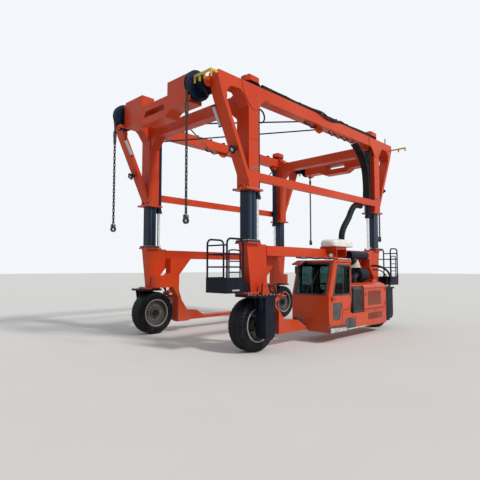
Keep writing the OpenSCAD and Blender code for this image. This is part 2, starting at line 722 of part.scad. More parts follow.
// Lifting crossbeams at the ends of the frame, between the chain wheels
lift_x = [wheel_axis_x - 250, wheel_axis_x + 100];
lift_end_y = chain_y - 140;
module lift_crossbeams() {
    color(ORANGE) placed() both_ends() front_plate(lift_x) difference() {
        polygon([
            [-lift_end_y, 5420], [-640, 5420], [-430, 5300], [430, 5300], [640, 5420],
            [lift_end_y, 5420], [lift_end_y, 6000], [lift_end_y - 60, 6080], [510, 6080],
            [510, 5780], [-510, 5780], [-510, 6080], [-lift_end_y + 60, 6080], [-lift_end_y, 6000]
        ]);
        polygon([[-420, 5480], [420, 5480], [360, 5620], [-360, 5620]]);
    }
    // Guides behind the chains, below the chain wheels
    color(ORANGE) placed() corners() {
        block([lift_x[1] - 1, chain_x - 24.3], [lift_end_y - 70, lift_end_y], [5422, 5482]);
        block([chain_x - 64, chain_x - 24.3], [lift_end_y - 1, chain_y + 40], [5400, 5482]);
    }
}

// Eight-sided caps on the sleeves
module mast_caps() {
    color(ORANGE) placed() corners() translate([leg_x - 60, leg_y, beam_top_z]) {
        translate([-60, -90, 0]) cube([180, 180, 95]);
        translate([0, 0, 95]) linear_extrude(120) polygon([
            [-250, -50], [-150, -160], [130, -160], [215, -60], [215, 60], [130, 160],
            [-150, 160], [-250, 50]
        ]);
        translate([-150, -110, 215]) cube([280, 220, 40]);
    }
}

// Barrels of the lift cylinders
module lift_cylinders() {
    color(NAVY) placed() corners() translate([cylinder_x, leg_y, 0]) difference() {
        union() {
            translate([0, 0, frame_base_z - 100]) cylinder(h = beam_z - frame_base_z - 80, r = 74);
            translate([0, 0, frame_base_z - 140]) cylinder(h = 90, r = 84);
            translate([-45, -55, beam_z - 181]) cube([90, 110, 71]);
        }
        translate([0, 0, frame_base_z - 90])
            cylinder(h = beam_z - frame_base_z - 110, r = 62);
        translate([0, 0, frame_base_z - 141]) cylinder(h = 60, r = lift_rod_r + fit);
    }
}

// Spindles and drives of the chain wheels
module chain_drives() {
    color(BLACK) placed() corners() {
        y_round([wheel_axis_x, wheel_axis_z], [lift_end_y, frame_y - strut_w], 78);
        y_round([wheel_axis_x - 20, wheel_axis_z], [chain_y + 90, chain_y + 270], 150);
        y_round([wheel_axis_x - 150, wheel_axis_z - 120], [chain_y + 70, chain_y + 300], 80);
    }
}
module chain_wheel_at() {
    color(NAVY) translate([wheel_axis_x, chain_y, wheel_axis_z]) rotate([90, 0, 0])
        rotate_extrude() polygon([
            [78 + fit, -55], [chain_wheel_r - 60, -55], [chain_wheel_r, -48],
            [chain_wheel_r, -34], [chain_wheel_r - 95, -30], [chain_wheel_r - 95, 30],
            [chain_wheel_r, 34], [chain_wheel_r, 48], [chain_wheel_r - 60, 55], [78 + fit, 55]
        ]);
}
module front_left_chain_wheel() { placed() chain_wheel_at(); }
module front_right_chain_wheel() { placed() mirror([0, 1, 0]) chain_wheel_at(); }
module rear_left_chain_wheel() { placed() mirror([1, 0, 0]) chain_wheel_at(); }
module rear_right_chain_wheel() { placed() mirror([1, 0, 0]) mirror([0, 1, 0]) chain_wheel_at(); }

// Lifting chains: links, a swivel near the top and a lug at the lower end
link_pitch = 84;
lug_h = 190;
link_count = floor((wheel_axis_z - chain_end_z - lug_h) / link_pitch);
module lifting_chains() {
    color(GREY) placed() corners() {
        translate([wheel_axis_x, chain_y, wheel_axis_z]) rotate([90, 0, 0]) rotate([0, 0, 2])
            rotate_extrude(angle = 148) translate([chain_r - 26, -20]) square([52, 40]);
        translate([chain_x, chain_y, chain_end_z + lug_h]) {
            for (i = [0 : link_count]) translate([0, 0, i * link_pitch]) {
                w = i % 2 == 0 ? [24, 9] : [9, 24];
                translate([-w[0], -w[1], 0]) cube([2 * w[0], 2 * w[1], link_pitch + 22]);
            }
            translate([-38, -28, link_count * link_pitch - 560]) cube([76, 56, 190]);
        }
    }
}
module sling_lugs() {
    color(BLACK) placed() corners() translate([chain_x, chain_y, chain_end_z]) difference() {
        union() {
            rotate([90, 0, 0]) translate([0, 70, -25]) cylinder(h = 50, r = 70);
            translate([-55, -25, 70]) cube([110, 50, lug_h - 70]);
        }
        rotate([90, 0, 0]) translate([0, 70, -30]) cylinder(h = 60, r = 32);
    }
}

// Yellow racks for the loose chain gear
rack_x = wheel_axis_x + 140;
module chain_racks() {
    color(YELLOW) placed() {
        block([tip_x - 5, rack_x + 30], [frame_y - 60, frame_y - 10], [5860, 5910]);
        block([rack_x, rack_x + 30], [chain_y + 80, frame_y - 10], [5860, 5910]);
        for (y = [chain_y + 80, chain_y + 240, chain_y + 400, frame_y - 40])
            block([rack_x, rack_x + 30], [y, y + 30], [5740, 5861]);
        block([-tip_x + 10, -tip_x + 50], [frame_y, rack_tip_y], [5780, 5820]);
        for (y = [2330, rack_tip_y - 35]) block([-tip_x + 10, -tip_x + 50], [y, y + 35],
            [5700, 5781]);
    }
}

// Work lamps on the struts
module work_lamps() {
    color(BLACK) placed() corners() {
        z = 4400;
        side_plate([frame_y - 105, frame_y - 75]) polygon([
            [strut_out(z - 25) + 0.3, z - 25], [strut_out(z - 25) + 90, z - 25],
            [strut_out(z - 25) + 90, z + 25], [strut_out(z + 25) + 0.3, z + 25]]);
        translate([strut_out(z) + 60, frame_y - 90, z]) rotate([0, 120, 0])
            cylinder(h = 70, r = 60);
    }
}

// Rods that brace the frame in plan, cut flush with the beams
module brace_rods() {
    color(NAVY) placed() both_sides() both_ends() difference() {
        rod([leg_x - 100, 674, 5617], [1060, frame_y - beam_w + 26, 5763], 28);
        block([leg_x - 140.2, leg_x + 300], [0, 2000], [5500, 5900]);
        block([0, 3000], [frame_y - beam_w - 0.2, frame_y], [5500, 5900]);
    }
}

lower_posts();
mast_columns();
lift_rods();
lower_side_beams();
side_rails();
rear_forks();
cab_floor();
cab_walls();
cab_front();
cab_roof();
cab_windows();
cab_seat();
cab_console();
cooling_unit();
unit_bracket();
engine_house();
engine_block();
side_skirt();
battery_box();
exhaust_silencer();
air_cleaner();
rear_cooler();
platform_decks();
platform_rails();
mast_sleeves();
struts();
end_beams();
top_side_beams();
tie_beams();
portal_crossbeams();
lift_crossbeams();
mast_caps();
lift_cylinders();
chain_drives();
lifting_chains();
sling_lugs();
chain_racks();
work_lamps();
brace_rods();
front_left_yoke();
front_right_yoke();
front_left_tyre();
front_left_rim();
front_right_tyre();
front_right_rim();
rear_left_tyre();
rear_left_rim();
rear_right_tyre();
rear_right_rim();
door_panel();
door_glass();
engine_door();
front_left_chain_wheel();
front_right_chain_wheel();
rear_left_chain_wheel();
rear_right_chain_wheel();
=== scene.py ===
import math

import bpy
import numpy as np
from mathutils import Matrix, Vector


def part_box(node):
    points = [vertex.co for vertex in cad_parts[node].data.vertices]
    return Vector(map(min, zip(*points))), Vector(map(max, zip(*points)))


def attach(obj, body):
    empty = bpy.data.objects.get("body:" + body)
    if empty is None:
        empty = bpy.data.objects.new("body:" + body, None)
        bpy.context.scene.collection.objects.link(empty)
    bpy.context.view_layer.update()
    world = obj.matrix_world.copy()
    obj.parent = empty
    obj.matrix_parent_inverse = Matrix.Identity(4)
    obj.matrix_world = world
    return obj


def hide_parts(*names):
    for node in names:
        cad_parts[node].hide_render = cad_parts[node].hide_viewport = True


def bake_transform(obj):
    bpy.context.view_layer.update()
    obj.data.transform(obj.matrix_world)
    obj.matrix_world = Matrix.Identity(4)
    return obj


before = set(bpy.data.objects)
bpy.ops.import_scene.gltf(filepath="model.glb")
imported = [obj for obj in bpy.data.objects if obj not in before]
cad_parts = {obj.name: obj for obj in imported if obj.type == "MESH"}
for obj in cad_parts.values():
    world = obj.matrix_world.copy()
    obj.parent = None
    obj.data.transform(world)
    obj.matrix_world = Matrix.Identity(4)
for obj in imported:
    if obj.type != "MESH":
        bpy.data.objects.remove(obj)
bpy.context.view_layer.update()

# The camera stands near the left front corner, below eye height, and looks up a little.
# The carried container's standard frame in the photograph fixed its place and its lens.
camera = bpy.data.objects.new("camera", bpy.data.cameras.new("camera"))
bpy.context.scene.collection.objects.link(camera)
bpy.context.scene.camera = camera
camera.data.lens = 32.71
camera.data.sensor_width = 36.0
camera.data.clip_end = 400.0
camera.location = (10.031, 8.3645, 1.82)
camera.rotation_euler = (math.pi / 2 + 0.065129, 0.0, 3.90814 - math.pi / 2)

# Hoses. Each is a black rubber tube with a wire braid under its skin, held by clamps on the
# steel. The bundles on the top beams feed the chain drives, and those at the forks the
# steering. All places are measured from the middle between the side frames and the ground.
mast_low, mast_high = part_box("mast_columns")
mast_half = 0.195
middle_y = float(mast_low[1] + mast_high[1]) / 2
leg_y = float(mast_high[1]) - middle_y - mast_half
leg_x = float(mast_high[0]) - mast_half
frame_y = float(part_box("top_side_beams")[1][1]) - middle_y - 0.012
beam_top = float(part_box("top_side_beams")[1][2])
beam_foot = beam_top - 0.29
hose_radius = 0.019
hose_black = (0.006, 0.006, 0.009, 1.0)


def fill(socket, value):
    """Links a socket to another one, or gives it a plain value."""
    if isinstance(value, bpy.types.NodeSocket):
        socket.id_data.links.new(value, socket)
    else:
        socket.default_value = value


def add_node(tree, kind, sockets=None, **settings):
    """A shader node. Each socket gets a plain value, or a link where another socket is given."""
    made = tree.nodes.new(kind)
    for name, value in settings.items():
        setattr(made, name, value)
    for name, value in (sockets or {}).items():
        fill(made.inputs[name], value)
    return made


def new_material(name):
    """A material with its node tree and the Principled shader in it."""
    made = bpy.data.materials.new(name)
    made.use_nodes = True
    return made, made.node_tree, made.node_tree.nodes["Principled BSDF"]


def smooth_path(points, count):
    """Points on a smooth curve through the given ones. Between two points it is a cubic whose
    slope at each end is half the vector between that end's two neighbours."""
    p = np.asarray(points, float)
    ends = np.vstack([2 * p[0] - p[1], p, 2 * p[-1] - p[-2]])
    t = np.linspace(0, len(p) - 1, count)
    i = np.minimum(t.astype(int), len(p) - 2)
    u = (t - i)[:, None]
    a, b, c, d = ends[i], ends[i + 1], ends[i + 2], ends[i + 3]
    return 0.5 * (2 * b + (c - a) * u + (2 * a - 5 * b + 4 * c - d) * u ** 2
                  + (3 * b - a - 3 * c + d) * u ** 3)


def ring_faces(rings, sides, loop=False):
    """Four-sided faces between neighbouring rings, and a polygon over each end of an open tube."""
    i, j = np.meshgrid(np.arange(rings if loop else rings - 1), np.arange(sides), indexing="ij")
    near = i * sides
    far = (i + 1) % rings * sides
    after = (j + 1) % sides
    quads = np.stack([near + j, near + after, far + after, far + j], -1).reshape(-1, 4).tolist()
    if loop:
        return quads
    last = (rings - 1) * sides
    return quads + [list(range(sides))[::-1], list(range(last, last + sides))]


def carried(path, profile, loop=False):
    """A closed profile (side, up) carried along a path. Side is square to the path's direction
    and to the axis along which the path spreads least, and up is square to both."""
    path = np.asarray(path, float)
    profile = np.asarray(profile, float)
    ahead = np.roll(path, -1, 0) - np.roll(path, 1, 0) if loop else np.gradient(path, axis=0)
    ahead /= np.linalg.norm(ahead, axis=1)[:, None]
    spread = path - path.mean(0)
    flat = np.linalg.eigh(spread.T @ spread)[1][:, 0]
    side = np.cross(flat, ahead)
    side /= np.linalg.norm(side, axis=1)[:, None]
    up = np.cross(ahead, side)
    rings = (path[:, None] + profile[None, :, :1] * side[:, None]
             + profile[None, :, 1:] * up[:, None])
    return rings.reshape(-1, 3), ring_faces(len(path), len(profile), loop)


def circle(radius, sides):
    """Points round a circle, each at its own angle."""
    angle = np.arange(sides) * 2 * math.pi / sides
    return np.stack([radius * np.cos(angle), radius * np.sin(angle)], -1)


def superellipse(steps, power):
    """Points round a superellipse in the square from -1 to 1: the cosine and the sine of each
    step's angle, raised to two divided by the power, with their signs kept."""
    round_ = circle(1, steps)
    return np.sign(round_) * np.abs(round_) ** (2 / power)


def hose(points, radius=hose_radius, count=40, sides=10):
    """A round tube along the smooth curve through the points."""
    return carried(smooth_path(points, count), circle(radius, sides))


def span(node):
    """The low and the high corner of a CAD node's box, with Y from the middle of the frame."""
    return [np.array(corner, float) - [0, middle_y, 0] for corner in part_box(node)]


def off(points, x=0.0, y=0.0, z=0.0):
    """Points moved along the axes."""
    return np.asarray(points, float) + [x, y, z]


def rectangle(low_u, high_u, low_v, high_v):
    """The corners of a rectangle between two values on each of its axes."""
    return [(low_u, low_v), (high_u, low_v), (high_u, high_v), (low_u, high_v)]


def ring_places(centre, radius, turns):
    """Places round an axis along Y through the centre, at turns counted from the X axis."""
    return off([(radius * math.cos(turn), 0, radius * math.sin(turn)) for turn in turns], *centre)


def signed_area(outline):
    """Twice an outline's area, with a minus where it runs clockwise: the sum of each corner's
    cross product with the next one."""
    x, y = np.asarray(outline, float).T
    return np.sum(x * np.roll(y, -1) - np.roll(x, -1) * y)


def plate(outline, axis, low, high):
    """A flat plate: an outline in the plane across an axis, carried straight along it. The
    outline's two values are the other two axes in their X, Y, Z order."""
    outline = np.asarray(outline, float)
    if (signed_area(outline) > 0) == (axis == 1):
        outline = outline[::-1]
    layers = [np.insert(outline, axis, value, axis=1) for value in (low, high)]
    return np.vstack(layers), ring_faces(2, len(outline))


def slab(x, y, z):
    """A box between a low and a high value on each axis."""
    return plate(rectangle(*x, *y), 2, *z)


def turned(profile, centre, axis, steps=32, loop=False):
    """A profile (radius, height) turned round an axis through the centre: a point is the centre,
    plus its radius at the step's angle across the axis, plus its height along the axis."""
    axis = np.asarray(axis, float) / np.linalg.norm(axis)
    first = np.cross(axis, np.eye(3)[np.argmin(np.abs(axis))])
    first /= np.linalg.norm(first)
    second = np.cross(axis, first)
    round_ = circle(1, steps) @ np.stack([first, second])
    profile = np.asarray(profile, float)
    points = np.asarray(centre, float) + profile[:, None, :1] * round_ + profile[:, None, 1:] * axis
    return points.reshape(-1, 3), ring_faces(len(profile), steps, loop)


def together(shapes):
    """Several shapes as one, with the faces' numbers shifted past the points before them."""
    starts = np.cumsum([0] + [len(points) for points, _ in shapes]).tolist()
    faces = [[n + start for n in face] for (_, own), start in zip(shapes, starts) for face in own]
    return np.vstack([points for points, _ in shapes]), faces


def moved(shape, centre):
    """A shape moved to a centre."""
    return shape[0] + centre, shape[1]


def mirrored(shape, x=False, y=False):
    """A shape on the other side in X, in Y or in both, with its faces still outwards."""
    points, faces = shape
    points = points * np.array([-1 if x else 1, -1 if y else 1, 1])
    return points, [face[::-1] for face in faces] if x != y else faces


def both_sides(shape):
    """A shape of the left side frame and its mirror image on the right one."""
    return together([shape, mirrored(shape, y=True)])


def corners(shape):
    """A shape of the front left corner and its mirror images on the other three."""
    return together([mirrored(shape, x, y) for x in (False, True) for y in (False, True)])


def make_piece(name, shape, material, body, smooth=35):
    """A mesh object from a shape, moved to the row frame, with smooth faces up to an angle."""
    points, faces = shape
    mesh = bpy.data.meshes.new(name)
    mesh.from_pydata((points + [0, middle_y, 0]).tolist(), [], faces)
    mesh.polygons.foreach_set("use_smooth", [True] * len(mesh.polygons))
    mesh.set_sharp_from_angle(angle=math.radians(smooth))
    mesh.materials.append(material)
    piece = bpy.data.objects.new(name, mesh)
    bpy.context.scene.collection.objects.link(piece)
    if body:
        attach(piece, body)
    return piece


def mixed(tree, share, first, second):
    """The second colour over the first, by a share from 0 to 1."""
    return add_node(tree, "ShaderNodeMix", {0: share, 6: first, 7: second},
                    data_type="RGBA").outputs[2]


def worked(tree, operation, first, second):
    """The result of a sum on two values, kept between 0 and 1."""
    return add_node(tree, "ShaderNodeMath", {0: first, 1: second, 2: 0.0}, operation=operation,
                    use_clamp=True).outputs[0]


def spread(tree, value, low, high, to_low=0.0, to_high=1.0):
    """A value moved from the range low to high into another range, and kept inside it."""
    return add_node(tree, "ShaderNodeMapRange", {"Value": value, "From Min": low, "From Max": high,
                    "To Min": to_low, "To Max": to_high}).outputs[0]


def noise(tree, place, scale, detail=4.0):
    """Cloudy noise from about 0.25 to 0.75, at so many clouds to the metre."""
    return add_node(tree, "ShaderNodeTexNoise",
                    {"Vector": place, "Scale": scale, "Detail": detail}).outputs["Fac"]


def object_place(tree):
    """Where a point lies in the piece's own space, in metres."""
    return add_node(tree, "ShaderNodeTexCoord").outputs["Object"]


def clouds(tree, place, scale, low, high, detail=4.0):
    """Noise as a share: its range from low to high becomes 0 to 1."""
    return spread(tree, noise(tree, place, scale, detail), low, high)


def stripes(tree, place, scale, way, **sockets):
    """Soft stripes across an axis, at a scale."""
    return add_node(tree, "ShaderNodeTexWave", {"Vector": place, "Scale": scale, **sockets},
                    bands_direction=way).outputs[1]


def coloured(shader, share, first, second):
    """Lays the second colour over the first on a shader, by a share from 0 to 1."""
    fill(shader.inputs["Base Color"], mixed(shader.id_data, share, first, second))


def roughened(shader, value, rough_low, rough_high, low=0.0, high=1.0):
    """A shader's roughness from rough_low to rough_high, as a value goes from low to high."""
    fill(shader.inputs["Roughness"],
         spread(shader.id_data, value, low, high, rough_low, rough_high))


def embossed(shader, height, strength, distance):
    """Lets a pattern stand out of a surface by up to a distance."""
    bump = add_node(shader.id_data, "ShaderNodeBump",
                    {"Height": height, "Strength": strength, "Distance": distance})
    fill(shader.inputs["Normal"], bump.outputs[0])


hose_rubber, tree, shader = new_material("hose_rubber")
place = object_place(tree)
coloured(shader, clouds(tree, place, 3.0, 0.4, 0.7), hose_black, (0.020, 0.019, 0.019, 1))
shader.inputs["Specular IOR Level"].default_value = 0.2
roughened(shader, noise(tree, place, 9.0), 0.35, 0.6, 0.3, 0.7)
weave = add_node(tree, "ShaderNodeTexVoronoi", {"Vector": place, "Scale": 140.0})
embossed(shader, weave.outputs["Distance"], 0.25, 0.002)

# Bundle along the outer edge of each top beam, from the front cap to the rear one: two rows of
# three hoses, which wave a little and droop over the edge near the middle, and nine clamps
bundle, bundle_end, column_step, row_step = [], leg_x - 0.3, 0.034, 0.036
for number in range(6):
    reach = np.linspace(bundle_end, -bundle_end, 40)
    droop = np.exp(-((reach + 0.15 + 0.1 * number) / 0.5) ** 2) * (number < 2)
    wave = 0.008 * np.sin(reach * 3.1 + number * 1.7) + 0.005 * np.sin(reach * 7.3 + number)
    lift = beam_top + hose_radius + row_step * (number % 2)
    lift += 0.009 * (1 + np.sin(reach * 2.3 + number))
    across = frame_y - 0.018 - column_step * (number // 2) + wave
    across += 0.045 * np.clip(2.4 * droop, 0, 1)
    lift -= 0.08 * np.clip(1.7 * droop - 0.55, 0, 1)
    bundle.append(hose(np.stack([reach, across, lift], -1), count=160))
clamp_outline = np.array([(-0.1, -0.005), (0.1, -0.005), (0.1, 0.075), (0.085, 0.09),
                          (-0.085, 0.09), (-0.1, 0.075)]) + [frame_y - 0.1, beam_top]
for reach in np.linspace(leg_x - 0.62, -leg_x + 0.62, 9):
    bundle.append(plate(clamp_outline, 0, reach - 0.02, reach + 0.02))
make_piece("beam_hose_bundles", both_sides(together(bundle)), hose_rubber, "lifting_frame")

# Loops from the mast sleeves' backs to the cylinders' heads, and short ones below the beams
head_loops = hose(off([(0, 0.1, 5.43), (-0.1, 0.13, 5.46), (-0.21, 0.14, 5.4), (-0.25, 0.14, 5.28),
                       (-0.21, 0.12, 5.19), (-0.135, 0.078, 5.17)], leg_x - 0.165, leg_y))
beam_hoses = [hose(off([(0.8, y, 0), (0.7, y, -0.05), (0.58, y, -0.03), (0.45, y, -0.08),
                        (0.32, y, -0.05), (0.24, y, 0)], 0, leg_y, beam_foot), radius=0.013)
              for y in (0.02, 0.06)]
under_reach = np.linspace(-0.35, -1.75, 36)
under_drop = -0.012 - 0.07 * np.sin(under_reach * 9.0) ** 4
beam_hoses.append(hose(off(np.stack([under_reach, np.full(36, 0.03), under_drop], -1), 0, leg_y,
                           beam_foot), radius=0.014, count=120))
make_piece("cylinder_head_hoses", together([corners(head_loops), both_sides(together(beam_hoses))]),
           hose_rubber, "lifting_frame")

# Curved bundle at the rear left leg, from the top beam down beside the lift cylinder
drop = [hose(off([(-1.78, 0, 5.6), (-1.95, 0, 5.5), (-2.2, 0, 5.3), (-2.42 + 0.01 * number, 0, 4.95),
                  (-2.5 + 0.012 * number, 0, 4.5), (-2.49, 0, 4.1), (-2.42, 0, 3.78)],
                 0, leg_y - 0.06 + 0.05 * number), radius=0.024, count=60) for number in range(5)]
make_piece("sleeve_hose_bundle", together(drop), hose_rubber, "lifting_frame")

# Orange steel: posts, beams, rails, sleeves, struts and caps. They are boxes welded from thick
# plate and sprayed with semi-gloss orange paint. The paint is rubbed thin on the plates' edges,
# streaked by rain and dusty near the ground.
orange = (0.52, 0.037, 0.005, 1.0)
orange_faded = (0.58, 0.060, 0.011, 1.0)
road_dust = (0.25, 0.21, 0.17, 1.0)
dust_height = 1.5


def paint_wear_group():
    """Paint colour, roughness and normal over a surface. The normal is rounded at edges, and where
    it leaves the flat one the edge shows primer in patches. Dust thins out with height, and
    rain streaks are noise stretched upright."""
    group = bpy.data.node_groups.new("paint_wear", "ShaderNodeTree")
    inputs = {"Paint": "Color", "Faded": "Color", "Primer": "Color", "Dust Colour": "Color",
              "Edge Radius": "Float", "Wear": "Float", "Dust": "Float", "Dust Height": "Float",
              "Gloss": "Float"}
    outputs = {"Colour": "Color", "Roughness": "Float", "Normal": "Vector"}
    for side, sockets in (("INPUT", inputs), ("OUTPUT", outputs)):
        for name, kind in sockets.items():
            group.interface.new_socket(name, in_out=side, socket_type="NodeSocket" + kind)
    given = add_node(group, "NodeGroupInput").outputs
    place = object_place(group)
    rounded = add_node(group, "ShaderNodeBevel", {"Radius": given["Edge Radius"]}, samples=3)
    flat = add_node(group, "ShaderNodeNewGeometry").outputs["Normal"]
    turn = add_node(group, "ShaderNodeVectorMath", {0: rounded.outputs[0], 1: flat},
                    operation="DOT_PRODUCT")
    edge = spread(group, turn.outputs["Value"], 0.995, 0.88)
    patches = clouds(group, place, 9.0, 0.5, 0.62, 6.0)
    bare = worked(group, "MULTIPLY", worked(group, "MULTIPLY", edge, patches), given["Wear"])
    height = add_node(group, "ShaderNodeSeparateXYZ", {"Vector": place}).outputs["Z"]
    low = spread(group, height, given["Dust Height"], 0.0)
    dirt = clouds(group, place, 2.6, 0.38, 0.68, 7.0)
    settled = worked(group, "MULTIPLY", worked(group, "MULTIPLY", low, dirt), given["Dust"])
    upright = add_node(group, "ShaderNodeMapping", {"Vector": place, "Scale": (9.0, 9.0, 0.5)})
    streak = spread(group, noise(group, upright.outputs[0], 1.0, 5.0), 0.55, 0.78, 0.0, 0.35)
    sunned = clouds(group, place, 0.55, 0.35, 0.7, 3.0)
    colour = mixed(group, sunned, given["Paint"], given["Faded"])
    colour = mixed(group, worked(group, "MULTIPLY", streak, given["Dust"]), colour,
                   given["Dust Colour"])
    colour = mixed(group, settled, colour, given["Dust Colour"])
    colour = mixed(group, bare, colour, given["Primer"])
    skin = noise(group, place, 55.0, 3.0)
    rough = worked(group, "ADD", given["Gloss"], worked(group, "MULTIPLY", settled, 0.35))
    rough = worked(group, "ADD", rough, spread(group, dirt, 0.0, 1.0, 0.0, 0.1))
    bump = add_node(group, "ShaderNodeBump", {"Height": skin, "Strength": 0.06, "Distance": 0.004,
                    "Normal": rounded.outputs[0]})
    add_node(group, "NodeGroupOutput",
             {"Colour": colour, "Roughness": rough, "Normal": bump.outputs[0]})
    return group


paint_wear = paint_wear_group()


def painted(name, paint, faded, primer, gloss=0.34, wear=0.5, dust=0.4, edge=0.006, coat=0.04,
            shine=0.22):
    """A painted steel finish: the paint_wear group over the Principled shader, with a clear coat."""
    made, tree, shader = new_material(name)
    worn = add_node(tree, "ShaderNodeGroup", {
        "Paint": paint, "Faded": faded, "Primer": primer, "Dust Colour": road_dust,
        "Edge Radius": edge, "Wear": wear, "Dust": dust, "Dust Height": dust_height,
        "Gloss": gloss}, node_tree=paint_wear)
    for number, socket in enumerate(("Base Color", "Roughness", "Normal")):
        fill(shader.inputs[socket], worn.outputs[number])
    shader.inputs["Specular IOR Level"].default_value = shine
    shader.inputs["Coat Weight"].default_value = coat
    shader.inputs["Coat Roughness"].default_value = 0.12
    return made


def dress(material, *nodes):
    """Gives CAD nodes a finish."""
    for node in nodes:
        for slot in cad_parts[node].material_slots:
            slot.material = material


orange_paint = painted("orange_paint", orange, orange_faded, (0.32, 0.16, 0.10, 1), wear=0.45)
dress(orange_paint, "lower_posts", "lower_side_beams", "side_rails", "mast_sleeves", "struts",
      "end_beams", "top_side_beams", "tie_beams", "portal_crossbeams", "lift_crossbeams",
      "mast_caps", "unit_bracket")

# Flange bolts. Each is a six-sided zinc-plated head on a washer, in rows round every flange.
zinc, tree, shader = new_material("zinc_bolts")
place = object_place(tree)
coloured(shader, clouds(tree, place, 30.0, 0.4, 0.65), (0.46, 0.43, 0.38, 1), (0.16, 0.11, 0.07, 1))
roughened(shader, noise(tree, place, 50.0), 0.3, 0.6, 0.3, 0.7)
shader.inputs["Metallic"].default_value = 0.85


def bolts(places, up=(0, 0, 1), size=0.021):
    """Bolt heads at many places: a round washer below a six-sided head with a chamfered top."""
    washer = turned([(size * 1.25, 0), (size * 1.25, size * 0.2)], (0, 0, 0), up, 10)
    head = turned([(size, size * 0.2), (size, size * 0.8), (size * 0.8, size)], (0, 0, 0), up, 6)
    points, faces = together([washer, head])
    return together([(points + place, faces) for place in np.asarray(places, float)])


def flange_rows(low_x, high_x, low_y, high_y, z, along_x, along_y):
    """Places round a rectangle: two rows along X and two along Y."""
    x = np.linspace(low_x, high_x, along_x)
    y = np.linspace(low_y, high_y, along_y)[1:-1]
    return ([(u, v, z) for v in (low_y, high_y) for u in x]
            + [(u, v, z) for u in (low_x, high_x) for v in y])


base_z = span("lower_posts")[0][2]
post_top = span("mast_columns")[0][2]
sleeve_foot = span("mast_sleeves")[0][2]
flange = 0.035
leg_foot = (leg_x, leg_y, 0)
post_rows = flange_rows(-0.172, 0.172, -0.17, 0.17, post_top + flange, 6, 6)
base_rows = flange_rows(-0.205, 0.185, -0.185, 0.185, base_z + flange, 6, 6)[6:]
make_piece("post_flange_bolts", corners(moved(bolts(post_rows + base_rows), leg_foot)), zinc,
           "chassis", smooth=20)
foot_rows = flange_rows(-0.24, 0.24, -0.2, 0.2, sleeve_foot + flange, 7, 3)
foot_bolts = moved(bolts(foot_rows[:1] + foot_rows[4:14] + foot_rows[15:]), leg_foot)
splice = [(leg_x + x, frame_y, z) for z in (4.02, 4.06) for x in (-0.11, -0.04, 0.04, 0.11)]
make_piece("sleeve_flange_bolts",
           corners(together([foot_bolts, bolts(splice, up=(0, 1, 0), size=0.016)])), zinc,
           "lifting_frame", smooth=20)

# Weld seams where the plates of the side frames meet: thin beads under the same paint
bead = circle(0.007, 6)
sleeve_weld = off([(-0.165, 0.001, 4.7), (0.165, 0.001, 4.7)], leg_x, frame_y)
foot_weld = off([(0.17, -0.002, 3.59), (0.27, -0.002, 3.59)], leg_x, frame_y)
welds = together([carried(smooth_path(sleeve_weld, 4), bead), carried(foot_weld, bead)])
make_piece("frame_welds", corners(welds), orange_paint, "lifting_frame")

# Ribs between the frame's feet and their flanges, welded across the corner
rib = np.array([(0, 0), (0.085, 0), (0.085, 0.012), (0.012, 0.11), (0, 0.11)]) + [
    leg_x + 0.165, sleeve_foot + flange]
foot_ribs = together([plate(rib, 1, side, side + 0.018) for side in (leg_y - 0.1, leg_y + 0.08)])
make_piece("foot_ribs", corners(foot_ribs), orange_paint, "lifting_frame")

# Navy masts: square steel tubes bolted on the lower posts, in glossy dark blue paint with two
# paler upright bands painted on each as highlights. The lift cylinders have the same paint.
navy = (0.004, 0.012, 0.034, 1.0)
navy_kind = dict(faded=(0.010, 0.020, 0.042, 1), primer=(0.14, 0.14, 0.15, 1), gloss=0.24, wear=0.3,
                 dust=0.06, coat=0.04, shine=0.14)
navy_paint = painted("navy_paint", navy, **navy_kind)
dress(navy_paint, "lift_cylinders", "front_left_chain_wheel", "front_right_chain_wheel",
      "rear_left_chain_wheel", "rear_right_chain_wheel")
mast_paint = painted("mast_paint", navy, **navy_kind)
tree, shader = mast_paint.node_tree, mast_paint.node_tree.nodes["Principled BSDF"]
# X is folded about the machine's middle, then about the line between a mast's two bands, and
# last about a band's own middle, so that one range from 0 stands for all the bands
between_bands, band_middle, band_half = leg_x - 0.033, 0.073, 0.022
reach = add_node(tree, "ShaderNodeSeparateXYZ", {0: object_place(tree)}).outputs[0]
for middle in (0.0, between_bands, band_middle):
    away = add_node(tree, "ShaderNodeMath", {0: reach, 1: middle}, operation="SUBTRACT").outputs[0]
    reach = add_node(tree, "ShaderNodeMath", {0: away}, operation="ABSOLUTE").outputs[0]
# The bands are painted highlights: a paler navy grey laid over the paint
painted_highlight_bands = worked(tree, "MULTIPLY", spread(tree, reach, band_half, band_half + 0.01, 1.0, 0.0), 0.8)
under = shader.inputs["Base Color"].links[0].from_socket
coloured(shader, painted_highlight_bands, under, (0.045, 0.068, 0.10, 1))
dress(mast_paint, "mast_columns")

# Stay pipes: thin navy steel pipes that tie the top beams to the front crossbeam, a short one and
# a long one from each beam. An orange bracket holds each long one.
stay_y, stay_front, stay_radius = 1.88, 2.8, 0.019
short_stay = hose([(0.73, stay_y, 5.69), (stay_front, 0.3, 5.5)], radius=stay_radius, count=2)
long_stays = [hose([(-0.12, stay_y * side, 5.68), (stay_front, -1.62 * side, end)],
                   radius=stay_radius, count=2) for side, end in ((1, 5.42), (-1, 5.36))]
stay_pipes = make_piece("stay_pipes", together([both_sides(short_stay)] + long_stays), navy_paint,
                        "lifting_frame")
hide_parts("brace_rods")
bracket_outline = [(-0.12, beam_foot + 0.001), (0.34, beam_foot + 0.001), (0.34, 5.61), (0.27, 5.6),
                   (0.2, 5.545), (0.12, 5.52), (0.02, 5.52), (-0.12, 5.6)]
bracket = plate(bracket_outline, 1, stay_y + 0.005, stay_y + 0.02)
make_piece("stay_brackets", both_sides(bracket), orange_paint, "lifting_frame")

